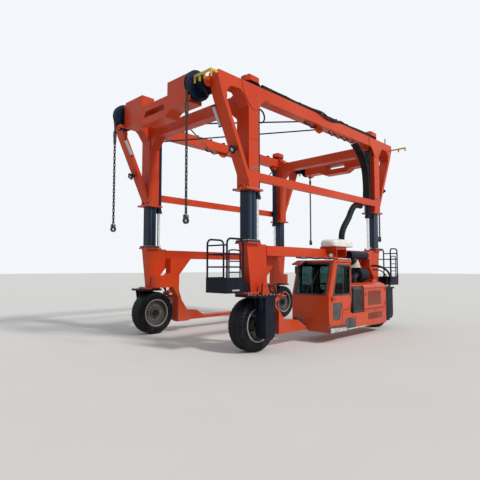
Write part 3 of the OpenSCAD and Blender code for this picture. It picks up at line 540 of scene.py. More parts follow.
# Lift rods: hard chrome with a thin film of oil. Each stands in a navy cylinder with a gland
# ring, a port block and hose ends.
chrome, tree, shader = new_material("hard_chrome")
film = clouds(tree, object_place(tree), 14.0, 0.35, 0.7)
coloured(shader, film, (0.80, 0.81, 0.82, 1), (0.62, 0.60, 0.56, 1))
roughened(shader, film, 0.06, 0.2)
shader.inputs["Metallic"].default_value = 1.0
dress(chrome, "lift_rods")
cylinder_x = leg_x - 0.3
gland = turned([(0.05, -0.012), (0.088, -0.012), (0.094, -0.004), (0.094, 0.05), (0.088, 0.058),
                (0.076, 0.058)], (cylinder_x, leg_y, sleeve_foot - 0.14), (0, 0, 1), 36)
port = moved(together([
    slab((-0.04, 0.04), (0.06, 0.125), (sleeve_foot + 0.24, sleeve_foot + 0.34)),
    hose([(0.01, 0.11, sleeve_foot + 0.33), (0.02, 0.1, sleeve_foot + 0.5), (0.02, 0.09, 4.6),
          (0.02, 0.09, 5.3), (0.02, 0.09, 5.62)], radius=0.013, count=30)]), (cylinder_x, leg_y, 0))
make_piece("cylinder_glands", corners(gland), navy_paint, "lifting_frame")
make_piece("cylinder_ports", corners(port), hose_rubber, "lifting_frame")

# Caps on the sleeves: folded steel hats with dark louvres in the gap below the brim, and a rod
# aerial on the rear left one.
cap_x, louvre_low, louvre_high = leg_x - 0.06, beam_top + 0.005, beam_top + 0.092
louvres = []
for number in range(6):
    reach = cap_x - 0.21 + 0.062 * number
    side = leg_y + 0.115 - 0.04 * number
    louvres.append(plate([(reach, louvre_low), (reach + 0.014, louvre_low),
                          (reach + 0.034, louvre_high), (reach + 0.02, louvre_high)], 1,
                         leg_y + 0.095, leg_y + 0.15))
    louvres.append(slab((cap_x + 0.14, cap_x + 0.19), (side, side + 0.015),
                        (louvre_low, louvre_high)))
black_paint = painted("black_paint", (0.004, 0.006, 0.017, 1), (0.011, 0.013, 0.022, 1),
                      (0.14, 0.12, 0.11, 1), gloss=0.4, wear=0.3, dust=0.1, coat=0.0, shine=0.12)
dress(black_paint, "rear_forks", "front_left_yoke", "front_right_yoke", "exhaust_silencer",
      "air_cleaner", "rear_cooler", "platform_decks", "platform_rails", "chain_drives",
      "work_lamps")
make_piece("cap_louvres", corners(together(louvres)), black_paint, "lifting_frame")
aerial = turned([(0.028, 0), (0.028, 0.03), (0.016, 0.05), (0.016, 0.2), (0.012, 0.225)],
                (-3.74, 2.0, beam_top), (0, 0, 1), 16)
make_piece("aerial", aerial, black_paint, "lifting_frame")

# Chain wheels: heavy cast sheaves with holes in the web, a bolted hub cover and a hydraulic
# motor behind. The wheel's holes show as dark round pockets with a rim.
wheel_x, wheel_z, chain_y = 4.05, 5.75, 1.45
wheel_centre = (wheel_x, chain_y, wheel_z)
wheel_cover = [
    turned([(0.12, 0.0), (0.12, 0.012), (0.1, 0.02), (0.04, 0.024)], (0, -0.055, 0), (0, -1, 0), 32),
    bolts(ring_places((0, -0.075, 0), 0.1, np.arange(8) * math.pi / 4), up=(0, -1, 0), size=0.013)]
for pocket in ring_places((0, -0.0552, 0), 0.19, np.arange(6) * math.pi / 3 + 0.3):
    wheel_cover.append(turned([(0.043, 0), (0.043, 0.004), (0.034, 0.006), (0.034, 0.001)], pocket,
                              (0, -1, 0), 20))
wheel_cover = moved(together(wheel_cover), wheel_centre)
for end in ("front", "rear"):
    for side in ("left", "right"):
        name = end + "_" + side
        make_piece(name + "_chain_wheel_cover", mirrored(wheel_cover, end == "rear", side == "right"),
                   black_paint, name + "_chain_drum")
motor = together([
    turned([(0.085, 0), (0.085, 0.03), (0.07, 0.04), (0.07, 0.1), (0.078, 0.105), (0.078, 0.15),
            (0.06, 0.165)], (-0.15, 0.13, -0.12), (0, 1, 0), 28),
    hose([(-0.2, 0.24, -0.1), (-0.24, 0.28, 0.05), (-0.12, 0.31, 0.16), (0.02, 0.3, 0.1)],
         radius=0.016),
    hose([(-0.1, 0.26, -0.18), (-0.02, 0.3, -0.25), (0.08, 0.31, -0.16), (0.06, 0.31, -0.04)],
         radius=0.014)])
make_piece("chain_motors", corners(moved(motor, wheel_centre)), black_paint, "lifting_frame")

# Lifting chains: round steel links, each a quarter turn from its neighbours. They run over the
# wheel and hang straight down to a forged lug with a shackle. A swivel is set in on the way.
link_pitch, link_bar, links_below_swivel = 0.084, 0.0125, 26
chain_turn = 0.285
chain_x = wheel_x + chain_turn
lug_top = 2.93


def chain_link(pitch, bar):
    """One link: a ring of round bar, of the radius bar, along a stadium. Its ends are half
    circles of 1.75 bar, and half of a straight side between them is half the pitch less 1.3 bar."""
    across, along = (1.75 * bar * circle(1, 14)).T
    half = pitch / 2 - 1.3 * bar
    path = np.stack([across, 0 * across, along + np.where(along >= 0, half, -half)], -1)
    return carried(path, circle(bar, 6), loop=True)


def placed(shape, places, ahead, side):
    """Copies of a shape at many places. Its Z runs along ahead, its X along side."""
    points, faces = shape
    third = np.cross(ahead, side)
    return together([(place + points @ np.stack(axes), faces)
                     for place, *axes in zip(places, side, third, ahead)])


hanging = np.arange(lug_top + 0.02, wheel_z, link_pitch)
over = np.arange(0, math.radians(148), link_pitch / chain_turn)
link_places = np.vstack([[(chain_x, chain_y, z) for z in hanging],
                         ring_places(wheel_centre, chain_turn, over)])
bend = np.concatenate([0 * hanging, over])
link_ahead = np.stack([-np.sin(bend), 0 * bend, np.cos(bend)], -1)
outwards = np.stack([np.cos(bend), 0 * bend, np.sin(bend)], -1)
even = (np.arange(len(bend)) % 2 == 0)[:, None]
link_side = np.where(even, outwards, [0.0, 1.0, 0.0])
chain = placed(chain_link(link_pitch * 1.3, link_bar), link_places, link_ahead, link_side)
swivel = moved(together([
    turned([(0.022, -0.12), (0.03, -0.1), (0.038, -0.06), (0.038, 0.05), (0.03, 0.09), (0.02, 0.1)],
           (0, 0, 0), (0, 0, 1), 20),
    slab((-0.035, 0.035), (-0.028, 0.028), (0.06, 0.2))]),
    (chain_x, chain_y, lug_top + links_below_swivel * link_pitch))
chain_steel, tree, shader = new_material("chain_steel")
rust = clouds(tree, object_place(tree), 22.0, 0.45, 0.65, 6.0)
coloured(shader, rust, (0.045, 0.042, 0.04, 1), (0.10, 0.055, 0.03, 1))
roughened(shader, rust, 0.4, 0.75)
fill(shader.inputs["Metallic"], spread(tree, rust, 0.0, 1.0, 0.85, 0.2))
chains = make_piece("round_link_chains", corners(together([chain, swivel])), chain_steel,
                    "lifting_frame", smooth=60)
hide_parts("lifting_chains")
dress(chain_steel, "sling_lugs")
shackle_pin = turned([(0.02, -0.045), (0.03, -0.045), (0.03, -0.038), (0.02, -0.036), (0.02, 0.036),
                      (0.026, 0.038), (0.026, 0.048), (0.018, 0.05)],
                     (chain_x, chain_y, lug_top - 0.03), (0, 1, 0), 14)
make_piece("lug_pins", corners(shackle_pin), zinc, "lifting_frame")

# Yellow racks at the tips: square steel tube in scuffed yellow paint, for the loose chain ends
yellow_paint = painted("yellow_paint", (0.62, 0.36, 0.02, 1), (0.70, 0.46, 0.08, 1),
                       (0.18, 0.13, 0.08, 1), gloss=0.4, wear=0.9, dust=0.5, coat=0.1, edge=0.004)
dress(yellow_paint, "chain_racks")

# Work lamps on the struts: black housings with a square frame round a pale glass. The struts'
# front faces lean forwards, so a lamp's X follows from its height.
lamp_z, lamp_turn = 4.4, math.radians(120)
strut_foot_x, strut_foot_z, strut_rate = 3.081, 3.715, 0.473
lamp_axis = np.array([math.sin(lamp_turn), 0.0, math.cos(lamp_turn)])
lamp_centre = 0.07 * lamp_axis + [
    strut_foot_x + (lamp_z - strut_foot_z) * strut_rate + 0.06, frame_y - 0.09, lamp_z]
bezel = turned([(0.04, -0.03), (0.088, -0.03), (0.098, -0.02), (0.098, 0.02), (0.09, 0.026),
                (0.07, 0.026), (0.05, 0.008)], lamp_centre, lamp_axis, 4)
lens = turned([(0.045, 0.0), (0.045, 0.012), (0.03, 0.018), (0.01, 0.02)], lamp_centre, lamp_axis,
              24)
lamp_glass, tree, shader = new_material("lamp_glass")
ribs = stripes(tree, object_place(tree), 28.0, "Y")
coloured(shader, ribs, (0.52, 0.55, 0.58, 1), (0.30, 0.33, 0.37, 1))
embossed(shader, ribs, 0.3, 0.003)
shader.inputs["Roughness"].default_value = 0.12
shader.inputs["Coat Weight"].default_value = 1.0
make_piece("lamp_bezels", corners(bezel), black_paint, "lifting_frame")
make_piece("lamp_lenses", corners(lens), lamp_glass, "lifting_frame")

# Light tubes on the inner faces of the front struts: pale plastic tubes with dark end caps
tube_low, tube_high = np.array([3.638, 1.75, 4.877]), np.array([3.863, 1.75, 5.30])
tube = hose([tube_low, tube_high], radius=0.036, count=2, sides=20)
cap = 0.06 * (tube_high - tube_low)
caps = together([hose([end, end + cap], radius=0.04, count=2, sides=20)
                 for end in (tube_low, tube_high - cap)])
make_piece("light_tubes", both_sides(tube), lamp_glass, "lifting_frame")
make_piece("light_tube_caps", both_sides(caps), black_paint, "lifting_frame")

# Tyres: wide industrial tyres with a plain ribbed sidewall, three grooves round the tread and
# short cuts across the shoulders. The rubber is worn grey on the tread and dusty.
tyre_low, tyre_high = span("front_left_tyre")
tyre_radius = (tyre_high[2] - tyre_low[2]) / 2
front_wheel_x = leg_x - 0.13
groove_depth, groove_half, groove_pitch = 0.011, 0.0065, 0.075
cut_depth, cut_every, cut_long = 0.012, 6, 2
hump_height, hump_half, hump_radii = 0.0035, 0.007, (0.415, 0.5)
tyre_outline = [(0.366, -0.176), (0.384, -0.205), (0.425, -0.2175), (0.47, -0.219), (0.52, -0.2155),
                (0.552, -0.2), (0.572, -0.172), (0.5815, -0.13), (0.5845, -0.07), (0.585, 0.0)]


def tyre(centre, steps=240):
    """A tyre round the Y axis. Its profile is a smooth curve from bead to bead. The radius drops
    by a groove's depth in three bands, and by a cut's depth across the shoulders at the first
    of every few steps. The sidewall stands out by a smooth hump at two radii."""
    half = np.array(tyre_outline)
    whole = smooth_path(np.vstack([half, half[-2::-1] * [1, -1]]), 75)
    radius, side = whole.T
    step = np.arange(steps)
    angle = step * 2 * math.pi / steps
    grooves = sum(groove_depth * np.clip(1.6 - np.abs(side - middle) / groove_half, 0, 1)
                  for middle in (-groove_pitch, 0.0, groove_pitch))
    shoulder = np.clip((np.abs(side) - 0.105) / 0.02, 0, 1) * np.clip((radius - 0.52) / 0.02, 0, 1)
    cuts = cut_depth * shoulder[:, None] * (step % cut_every < cut_long)
    humps = sum(hump_height * np.exp(-((radius - r) / hump_half) ** 2) for r in hump_radii)
    rows = tyre_radius / half[-1, 0] * ((radius - grooves)[:, None] - cuts)
    across = (side + np.sign(side) * humps)[:, None] + 0 * rows
    points = np.stack([rows * np.sin(angle), across, rows * np.cos(angle)], -1)
    return points.reshape(-1, 3) + centre, ring_faces(len(whole), steps, loop=True)


tyre_rubber, tree, shader = new_material("tyre_rubber")
place = object_place(tree)
scuff = clouds(tree, place, 7.0, 0.42, 0.7, 7.0)
height = add_node(tree, "ShaderNodeSeparateXYZ", {"Vector": place}).outputs["Z"]
dusty = worked(tree, "MULTIPLY", scuff, spread(tree, height, 1.1, 0.1, 0.15, 0.75))
coloured(shader, dusty, (0.004, 0.004, 0.008, 1), (0.028, 0.025, 0.023, 1))
roughened(shader, dusty, 0.5, 0.9)
shader.inputs["Specular IOR Level"].default_value = 0.15
embossed(shader, noise(tree, place, 160.0, 3.0), 0.25, 0.002)

# Rims: grey painted steel with a bright rolled flange, a ring of nuts on the disc and a valve
rim_radius = 0.37
rim_paint = painted("rim_paint", (0.030, 0.032, 0.036, 1), (0.055, 0.056, 0.06, 1),
                    (0.20, 0.15, 0.11, 1), gloss=0.45, wear=0.6, dust=0.7, coat=0.1)
bright_steel = painted("bright_rim_flange", (0.38, 0.38, 0.37, 1), (0.28, 0.26, 0.24, 1),
                       (0.14, 0.10, 0.07, 1), gloss=0.35, wear=0.4, dust=0.8, coat=0.2, edge=0.003)
rim_half = 0.186
rim_flange = turned([(rim_radius + out, rim_half + along) for out, along in (
    (-0.022, 0), (-0.012, -0.004), (0.006, 0), (0.012, 0.012), (0.002, 0.02), (-0.02, 0.016))],
    (0, 0, 0), (0, 1, 0), 72, loop=True)
nut_turns = np.arange(16) * math.pi / 8
wheel_nuts = [bolts(ring_places((0, side, 0), 0.2, nut_turns), up=(0, way, 0), size=0.018)
              for side, way in ((-0.1, -1), (-0.06, 1))]
valve = hose([(0, 0.04, 0.33), (0, 0.08, 0.325), (0, 0.13, 0.3)], radius=0.006, count=8, sides=8)
for name, x in (("front_left", front_wheel_x), ("front_right", front_wheel_x),
                ("rear_left", -leg_x), ("rear_right", -leg_x)):
    centre = (x, leg_y, tyre_radius)
    body, right = name + "_wheel", name.endswith("right")
    tread = make_piece(name + "_treaded_tyre", mirrored(tyre(centre), y=right), tyre_rubber, body,
                       smooth=28)
    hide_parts(name + "_tyre")
    dress(rim_paint, name + "_rim")
    make_piece(name + "_rim_flanges", mirrored(moved(both_sides(rim_flange), centre), y=right),
               bright_steel, body)
    nuts = moved(together(wheel_nuts + [valve]), centre)
    make_piece(name + "_wheel_nuts", mirrored(nuts, y=right), zinc, body, smooth=20)

# Forks: one broad leg outside each wheel below a crown plate. Bolts hold the crown, a cast cover
# closes the stub axle's end, and stiffening ribs run down the leg. A lug on the crown takes the
# steering cylinder.
fork_face = 2.445


def fork_dressing(wheel_x):
    """Rib plates and the axle's end cover with its bolts, on one fork of the left side."""
    axle = (wheel_x + 0.005, fork_face, tyre_radius - 0.03)
    turns = np.arange(8) * math.pi / 4 + math.pi / 8
    rib = [(-0.15, 0.46), (-0.15, 1.2), (-0.235, 1.2), (-0.2, 1.0), (-0.168, 0.7)]
    ribs = [plate([(wheel_x + x, z) for x, z in outline], 1, leg_y + side, leg_y + side + 0.025)
            for outline in (rib, [(0.02 - x, z) for x, z in rib]) for side in (0.3, 0.46)]
    return together([
        turned([(0.105, -0.012), (0.105, 0.0), (0.098, 0.0012), (0.05, 0.0015)], axle, (0, 1, 0), 36),
        bolts(ring_places(off(axle, y=-0.004), 0.085, turns), up=(0, 1, 0), size=0.011)] + ribs)


pivot_x = leg_x - 0.07
crown_z = base_z - 0.005
crown_bolts = bolts([(pivot_x + x, leg_y + y, crown_z) for x, y in (
    (-0.31, 0.1), (-0.31, 0.33), (-0.31, 0.42), (-0.22, 0.5), (-0.1, 0.51), (0.02, 0.51), (0.14, 0.51),
    (0.24, 0.5), (0.32, 0.42), (0.33, 0.33), (0.32, 0.24))], size=0.017)
lug_rise, lug_radius = 0.2, 0.085
lug_outline = [(-0.14, -lug_rise), (0.11, -lug_rise)] + [
    (lug_radius * math.cos(turn), lug_radius * math.sin(turn))
    for turn in np.linspace(-0.15, math.pi + 0.15, 18)]
lug_pin = turned([(0.03, -0.045), (0.03, 0.045)], (0, 0, 0), (0, 1, 0), 20)
steering_lug = moved(together([plate(lug_outline, 1, -0.03, 0.03), lug_pin]),
                     (pivot_x - 0.18, leg_y + 0.27, crown_z + lug_rise))
for name in ("front_left", "front_right"):
    steer, right = name + "_steer", name == "front_right"
    make_piece(name + "_fork_ribs", mirrored(fork_dressing(front_wheel_x), y=right), black_paint,
               steer)
    make_piece(name + "_crown_bolts", mirrored(crown_bolts, y=right), zinc, steer,
               smooth=20)
    make_piece(name + "_steering_lug", mirrored(steering_lug, y=right), orange_paint, steer)
make_piece("rear_fork_ribs", both_sides(mirrored(fork_dressing(leg_x), x=True)), black_paint,
           "chassis")

# Hoses that loop from the neck plate to the steering lug's cylinder, above each front crown
loops = together([
    hose(off([(2.52, 0.25, 1.27), (2.5, 0.25, 1.36), (2.42, 0.24, 1.43), (2.3, 0.22, 1.4),
              (2.22, 0.2, 1.3), (2.2, 0.2, 1.16)], y=leg_y), radius=0.016),
    hose(off([(2.56, 0.2, 1.26), (2.5, 0.22, 1.31), (2.34, 0.26, 1.46), (2.16, 0.26, 1.42),
              (2.02, 0.24, 1.3), (2.04, 0.2, 1.17)], y=leg_y), radius=0.014),
    hose(off([(2.5, 0.14, 1.26), (2.44, 0.18, 1.3), (2.32, 0.2, 1.28), (2.24, 0.2, 1.22),
              (2.22, 0.18, 1.14)], y=leg_y), radius=0.026)])
arm_outline = [(2.3, 1.02), (2.3, 1.14), (2.12, 1.18), (1.92, 1.235), (1.9, 1.17), (2.1, 1.09)]
arm = together([plate(arm_outline, 1, leg_y + 0.08, leg_y + 0.2),
                slab((1.88, 2.1), (leg_y + 0.02, leg_y + 0.26), (1.175, 1.2))])
for name, sign in (("front_left", 1), ("front_right", -1)):
    make_piece(name + "_hose_bracket", mirrored(arm, y=sign < 0), orange_paint, "chassis")
    piece = make_piece(name + "_steering_hoses", mirrored(loops, y=sign < 0), hose_rubber, None)
    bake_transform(piece)

# Access platforms: a welded box with a checkered floor and round steel rails. Each has a low
# gate of thinner tube on its outer side and clamps where the rails are bolted, and the front
# one has toe plates.
deck_low, deck_high = (corner[2] for corner in span("platform_decks"))
toe, toe_thick = 0.07, 0.004
front_deck, rear_deck = ((3.2, 3.73), (1.4, 2.05)), ((-3.75, -3.22), (1.85, 2.35))
gates = []
for (low_x, high_x), (low_y, high_y) in (front_deck, rear_deck):
    rail_y, left_x, right_x = high_y - 0.021, low_x + 0.1, high_x - 0.1
    half_gate = [(left_x, deck_high - 0.02), (left_x, 2.1), (left_x + 0.03, 2.2)]
    gate = half_gate + [(low_x + high_x - x, z) for x, z in half_gate[::-1]]
    gates.append(hose([(x, rail_y - 0.02, z) for x, z in gate], radius=0.015, count=60))
    for z in (1.74, 1.97):
        gates.append(carried([(left_x, rail_y - 0.02, z), (right_x, rail_y - 0.02, z)],
                             circle(0.013, 12)))
    for x in (low_x + 0.021, high_x - 0.021):
        for side in (low_y + 0.021, rail_y):
            gates.append(turned([(0.03, 0), (0.03, 0.05), (0.023, 0.055)], (x, side, deck_high),
                                (0, 0, 1), 20))
deck_x, deck_y = front_deck
for y in (deck_y[0], deck_y[1] - toe_thick):
    gates.append(slab(deck_x, (y, y + toe_thick), (deck_high, deck_high + toe)))
gates.append(slab((deck_x[1] - toe_thick, deck_x[1]), deck_y, (deck_high, deck_high + toe)))
make_piece("platform_gates", together(gates), black_paint, "chassis")
floors = together([slab((low_x + 0.02, high_x - 0.02), (low_y + 0.02, high_y - 0.02),
                        (deck_low + 0.025, deck_low + 0.031))
                   for (low_x, high_x), (low_y, high_y) in (front_deck, rear_deck)])
checkered, tree, shader = new_material("checker_plate")
place = object_place(tree)
turned_place = add_node(tree, "ShaderNodeMapping",
                        {"Vector": place, "Rotation": (0, 0, math.pi / 4)}).outputs[0]
ridges = add_node(tree, "ShaderNodeTexBrick",
                  {"Vector": turned_place, "Scale": 22.0, "Mortar Size": 0.03})
coloured(shader, clouds(tree, place, 8.0, 0.4, 0.65), (0.035, 0.036, 0.04, 1), (0.12, 0.10, 0.085, 1))
shader.inputs["Roughness"].default_value = 0.5
shader.inputs["Metallic"].default_value = 0.6
embossed(shader, ridges.outputs["Fac"], 0.7, 0.004)
make_piece("platform_floors", floors, checkered, "chassis")
pale_sign = painted("bare_sign", (0.55, 0.55, 0.52, 1), (0.40, 0.39, 0.36, 1), (0.3, 0.3, 0.3, 1),
                    gloss=0.4, wear=0.3, dust=0.8, coat=0.0, edge=0.001)
make_piece("platform_sign", slab((3.36, 3.57), (2.05, 2.053), (1.345, 1.375)), pale_sign, "chassis")

# Cab shell: folded steel sheet in the same orange, with the door hung on its rear post. The
# paint is cleaner here than on the legs. Edges are rounder, as sheet bends are, and the sheets'
# inner faces are painted near black as the shade inside the cab.
cab_colours = ((0.52, 0.040, 0.006, 1), (0.58, 0.065, 0.012, 1), (0.30, 0.15, 0.10, 1))
house_paint = painted("house_paint", *cab_colours, gloss=0.26, wear=0.3, dust=0.3, coat=0.15,
                      edge=0.014)
dress(house_paint, "engine_house", "engine_door", "side_skirt")
cab_paint = painted("cab_paint", *cab_colours, gloss=0.26, wear=0.3, dust=0.25, coat=0.08, edge=0.014)
tree, shader = cab_paint.node_tree, cab_paint.node_tree.nodes["Principled BSDF"]
# Faces that turn towards the cab's middle get a near-black colour: painted shade inside the cab
cab_places = add_node(tree, "ShaderNodeTexCoord").outputs
cab_middle = (0.32, 2.12 + middle_y, 1.25)
inward = add_node(tree, "ShaderNodeVectorMath", {0: cab_middle, 1: cab_places["Object"]},
                  operation="SUBTRACT")
faces_in = add_node(tree, "ShaderNodeVectorMath", {0: inward.outputs[0], 1: cab_places["Normal"]},
                    operation="DOT_PRODUCT")
painted_inside_shade = spread(tree, faces_in.outputs["Value"], 0.16, 0.2)
outside = shader.inputs["Base Color"].links[0].from_socket
coloured(shader, painted_inside_shade, outside, (0.018, 0.018, 0.021, 1))
dress(cab_paint, "cab_walls", "cab_front", "cab_roof", "door_panel")
apron = plate([(1.6, 0.45), (2.0, 0.39), (2.664, 0.266), (2.668, 0.53), (1.575, 0.53)], 0, 0.8895,
              0.897)
make_piece("cab_apron", apron, cab_paint, "chassis")
cab_low, cab_high = span("cab_front")
cab_front_x, cab_back = cab_high[0], -0.19
cab_inner, cab_side = cab_low[1], cab_high[1]
roof_low = span("cab_roof")[1][2] - 0.05
sill, rake = 1.155, 0.255
rake_rate = rake / (roof_low - sill)
rubber_trim, tree, shader = new_material("rubber_trim")
place = object_place(tree)
coloured(shader, clouds(tree, place, 12.0, 0.4, 0.65), (0.012, 0.012, 0.014, 1),
         (0.05, 0.047, 0.043, 1))
roughened(shader, noise(tree, place, 25.0), 0.45, 0.7, 0.3, 0.7)
embossed(shader, noise(tree, place, 220.0, 2.0), 0.15, 0.001)


def grown(outline, by):
    """An outline with every edge moved outwards by a distance. A corner moves along the sum of
    its two edges' normals, divided by one plus their dot product."""
    p = np.asarray(outline, float)
    edge = np.roll(p, -1, 0) - p
    normal = np.stack([edge[:, 1], -edge[:, 0]], -1) * np.sign(signed_area(p))
    normal /= np.linalg.norm(normal, axis=1)[:, None]
    before = np.roll(normal, 1, 0)
    return p + by * (normal + before) / (1 + np.sum(normal * before, 1))[:, None]


def eased(outline, radius, steps=7):
    """An outline with round corners. Each corner gives way to a quadratic curve that starts and
    ends a radius away from it on its two edges and has the corner as its control point."""
    p = np.asarray(outline, float)
    back, on = np.roll(p, 1, 0) - p, np.roll(p, -1, 0) - p
    back_length, on_length = (np.linalg.norm(v, axis=1)[:, None] for v in (back, on))
    start = p + back / back_length * np.minimum(radius, 0.48 * back_length)
    end = p + on / on_length * np.minimum(radius, 0.48 * on_length)
    u = np.linspace(0, 1, steps)[None, :, None]
    curve = (1 - u) ** 2 * start[:, None] + 2 * u * (1 - u) * p[:, None] + u ** 2 * end[:, None]
    return curve.reshape(-1, 2)


def surround(outline, axis, low, high, out=0.012, into=0.03, corner=0.075):
    """A flat ring round an opening: from the outline grown outwards with nearly sharp corners to
    the outline drawn inwards with round ones, between two places along an axis."""
    outer, inner = eased(grown(outline, out), 0.004), eased(grown(outline, -into), corner)
    if (signed_area(outer) > 0) == (axis == 1):
        outer, inner = outer[::-1], inner[::-1]
    layers = [np.insert(flat, axis, value, axis=1)
              for flat, value in ((outer, low), (inner, low), (inner, high), (outer, high))]
    return np.stack(layers, 1).reshape(-1, 3), ring_faces(len(outer), 4, loop=True)


def raked(shape):
    """Leans a shape back above the sill: X drops in step with the height over it."""
    points, faces = shape
    lean = np.clip(points[:, 2] - sill, -0.1, None) * rake_rate
    return points - np.stack([lean, 0 * lean, 0 * lean], -1), faces


# Windscreen, door and side windows: black rubber frames with round corners around lightly
# tinted safety glass
screen_y = (cab_inner + 0.06, cab_side - 0.095)
windscreen = rectangle(*screen_y, sill + 0.012, roof_low - 0.025)
side_window = rectangle(cab_back + 0.13, 0.515, sill, roof_low - 0.08)
back_window = rectangle(cab_inner + 0.12, cab_side - 0.17, sill + 0.06, roof_low - 0.08)
door_window = [(-0.12, roof_low - 0.072), (-0.12, sill), (0.69, sill), (0.462, roof_low - 0.072)]
seals = together([
    raked(surround(windscreen, 0, cab_front_x - 0.03, cab_front_x + 0.006, corner=0.1)),
    surround(side_window, 1, cab_inner - 0.006, cab_inner + 0.03),
    surround(back_window, 0, cab_back - 0.006, cab_back + 0.03)])
make_piece("window_seals", seals, rubber_trim, "chassis")
door_seal = together([
    surround(door_window, 1, cab_side - 0.03, cab_side + 0.006),
    slab((0.2, 0.225), (cab_side - 0.028, cab_side - 0.008), (sill + 0.01, roof_low - 0.08))])
make_piece("door_window_seal", door_seal, rubber_trim, "cab_door")
glass, tree, shader = new_material("cab_glass")
smears = clouds(tree, object_place(tree), 3.5, 0.45, 0.75, 6.0)
coloured(shader, smears, (0.16, 0.27, 0.26, 1), (0.22, 0.31, 0.29, 1))
roughened(shader, smears, 0.01, 0.08)
shader.inputs["Transmission Weight"].default_value = 1.0
shader.inputs["IOR"].default_value = 1.12
dress(glass, "cab_windows", "door_glass")

# Door fittings: a black pull handle with its lock, a dark boot-shaped lower panel of grained
# plastic, and a rubber strip beside it
handle = together([
    hose(off([(0.745, -0.002, 1.085), (0.745, 0.021, 1.08), (0.71, 0.0235, 1.075),
              (0.66, 0.0235, 1.07), (0.625, 0.021, 1.066), (0.625, -0.002, 1.064)], y=cab_side),
         radius=0.01),
    turned([(0.02, 0), (0.02, 0.008), (0.008, 0.01)], (0.775, cab_side, 1.075), (0, 1, 0), 20)])
make_piece("door_handle", handle, rubber_trim, "cab_door")
boot = [(0.4, 0.545), (0.62, 0.545), (0.705, 0.62), (0.705, 0.96), (0.28, 0.96), (0.28, 0.87),
        (0.345, 0.8), (0.36, 0.6)]
boot_shape = plate(eased(grown(boot, -0.006), 0.045), 1, cab_side - 0.006, cab_side - 0.001)
boot_rim = surround(boot, 1, cab_side - 0.006, cab_side + 0.002, out=0.006, into=0.008, corner=0.05)
dark_panel, tree, shader = new_material("dark_plastic")
place = object_place(tree)
coloured(shader, clouds(tree, place, 5.0, 0.4, 0.7), (0.040, 0.040, 0.046, 1), (0.085, 0.08, 0.075, 1))
roughened(shader, noise(tree, place, 14.0), 0.45, 0.65, 0.3, 0.7)
embossed(shader, noise(tree, place, 260.0, 2.0), 0.3, 0.001)
make_piece("boot_panel", together([boot_shape, boot_rim]), dark_panel, "cab_door")
make_piece("door_gap_trim", slab((0.268, 0.28), (cab_side - 0.001, cab_side + 0.003), (0.42, 0.9)),
           rubber_trim, "cab_door")

# Mirror, wiper and roof lamp. The mirror hangs in the windscreen's inner upper corner, and the
# wiper's arm turns on a spindle under the glass.
glass_y = sum(screen_y) / 2
wiper = raked(together([
    hose(off([(0.012, -0.1, 0.03), (0.02, -0.02, 0.2), (0.02, 0.1, 0.42)], cab_front_x, glass_y, sill),
         radius=0.006, count=14, sides=8),
    carried(off([(0.012, 0.02, 0.2), (0.012, 0.18, 0.64)], cab_front_x, glass_y, sill),
            [(-0.006, -0.006), (0.006, -0.006), (0.003, 0.01), (-0.003, 0.01)]),
    turned([(0.02, -0.03), (0.02, 0.015), (0.012, 0.02)],
           (cab_front_x, glass_y - 0.1, sill + 0.03), (1, 0, 0), 18)]))
make_piece("windscreen_wiper", wiper, rubber_trim, "chassis")
mirror_x = cab_front_x - rake + 0.19
mirror_face = rectangle(cab_inner + 0.05, cab_inner + 0.17, roof_low - 0.3, roof_low - 0.1)
mirror = together([
    hose(off([(-0.16, -0.012, -0.03), (-0.05, 0.02, -0.02), (0, 0.09, -0.06), (0, 0.11, -0.12)],
             mirror_x, cab_inner, roof_low), radius=0.008, count=24, sides=8),
    plate(eased(mirror_face, 0.03), 0, mirror_x - 0.02, mirror_x + 0.012)])
make_piece("cab_mirror", mirror, rubber_trim, "chassis")
roof_lamp_place, roof_lamp_axis = (0.20, 2.29, 2.16), (0.6, 0.75, -0.1)
roof_lamp = turned([(0.03, 0.0), (0.055, 0.005), (0.062, 0.03), (0.062, 0.055), (0.056, 0.06)],
                   roof_lamp_place, roof_lamp_axis, 24)
make_piece("roof_lamp", roof_lamp, black_paint, "chassis")
roof_lens = turned([(0.054, 0.058), (0.054, 0.062), (0.02, 0.068)], roof_lamp_place, roof_lamp_axis, 24)
make_piece("roof_lamp_lens", roof_lens, lamp_glass, "chassis")
stalk = hose([(0.14, 2.2, 2.2), (0.17, 2.24, 2.18), (0.2, 2.28, 2.16)], radius=0.012, count=10)
make_piece("roof_lamp_stalk", stalk, black_paint, "chassis")

# Step below the door, of pale ribbed aluminium, and the skirt's dark panel with a round top
step = together([
    plate([(0.14, 0.258), (0.868, 0.258), (0.868, 0.37), (0.14, 0.34)], 1, cab_side + 0.0282,
          cab_side + 0.033),
    slab((-0.95, 0.139), (cab_side - 0.006, cab_side - 0.001), (0.262, 0.29))])
aluminium, tree, shader = new_material("step_aluminium")
place = object_place(tree)
coloured(shader, clouds(tree, place, 10.0, 0.4, 0.65, 6.0), (0.62, 0.61, 0.58, 1),
         (0.36, 0.33, 0.29, 1))
shader.inputs["Metallic"].default_value = 0.3
shader.inputs["Roughness"].default_value = 0.5
embossed(shader, stripes(tree, place, 20.0, "Z"), 0.4, 0.003)
make_piece("cab_step_plate", step, aluminium, "chassis")
panel_outline = [(-0.39, 0.29), (0.14, 0.29), (0.14, 0.45)] + [
    (-0.125 + 0.265 * math.cos(turn), 0.45 + 0.1 * math.sin(turn))
    for turn in np.linspace(0.2, math.pi - 0.2, 12)] + [(-0.39, 0.45)]
make_piece("skirt_panel", plate(panel_outline, 1, cab_side - 0.016, cab_side - 0.006), dark_panel,
           "chassis")

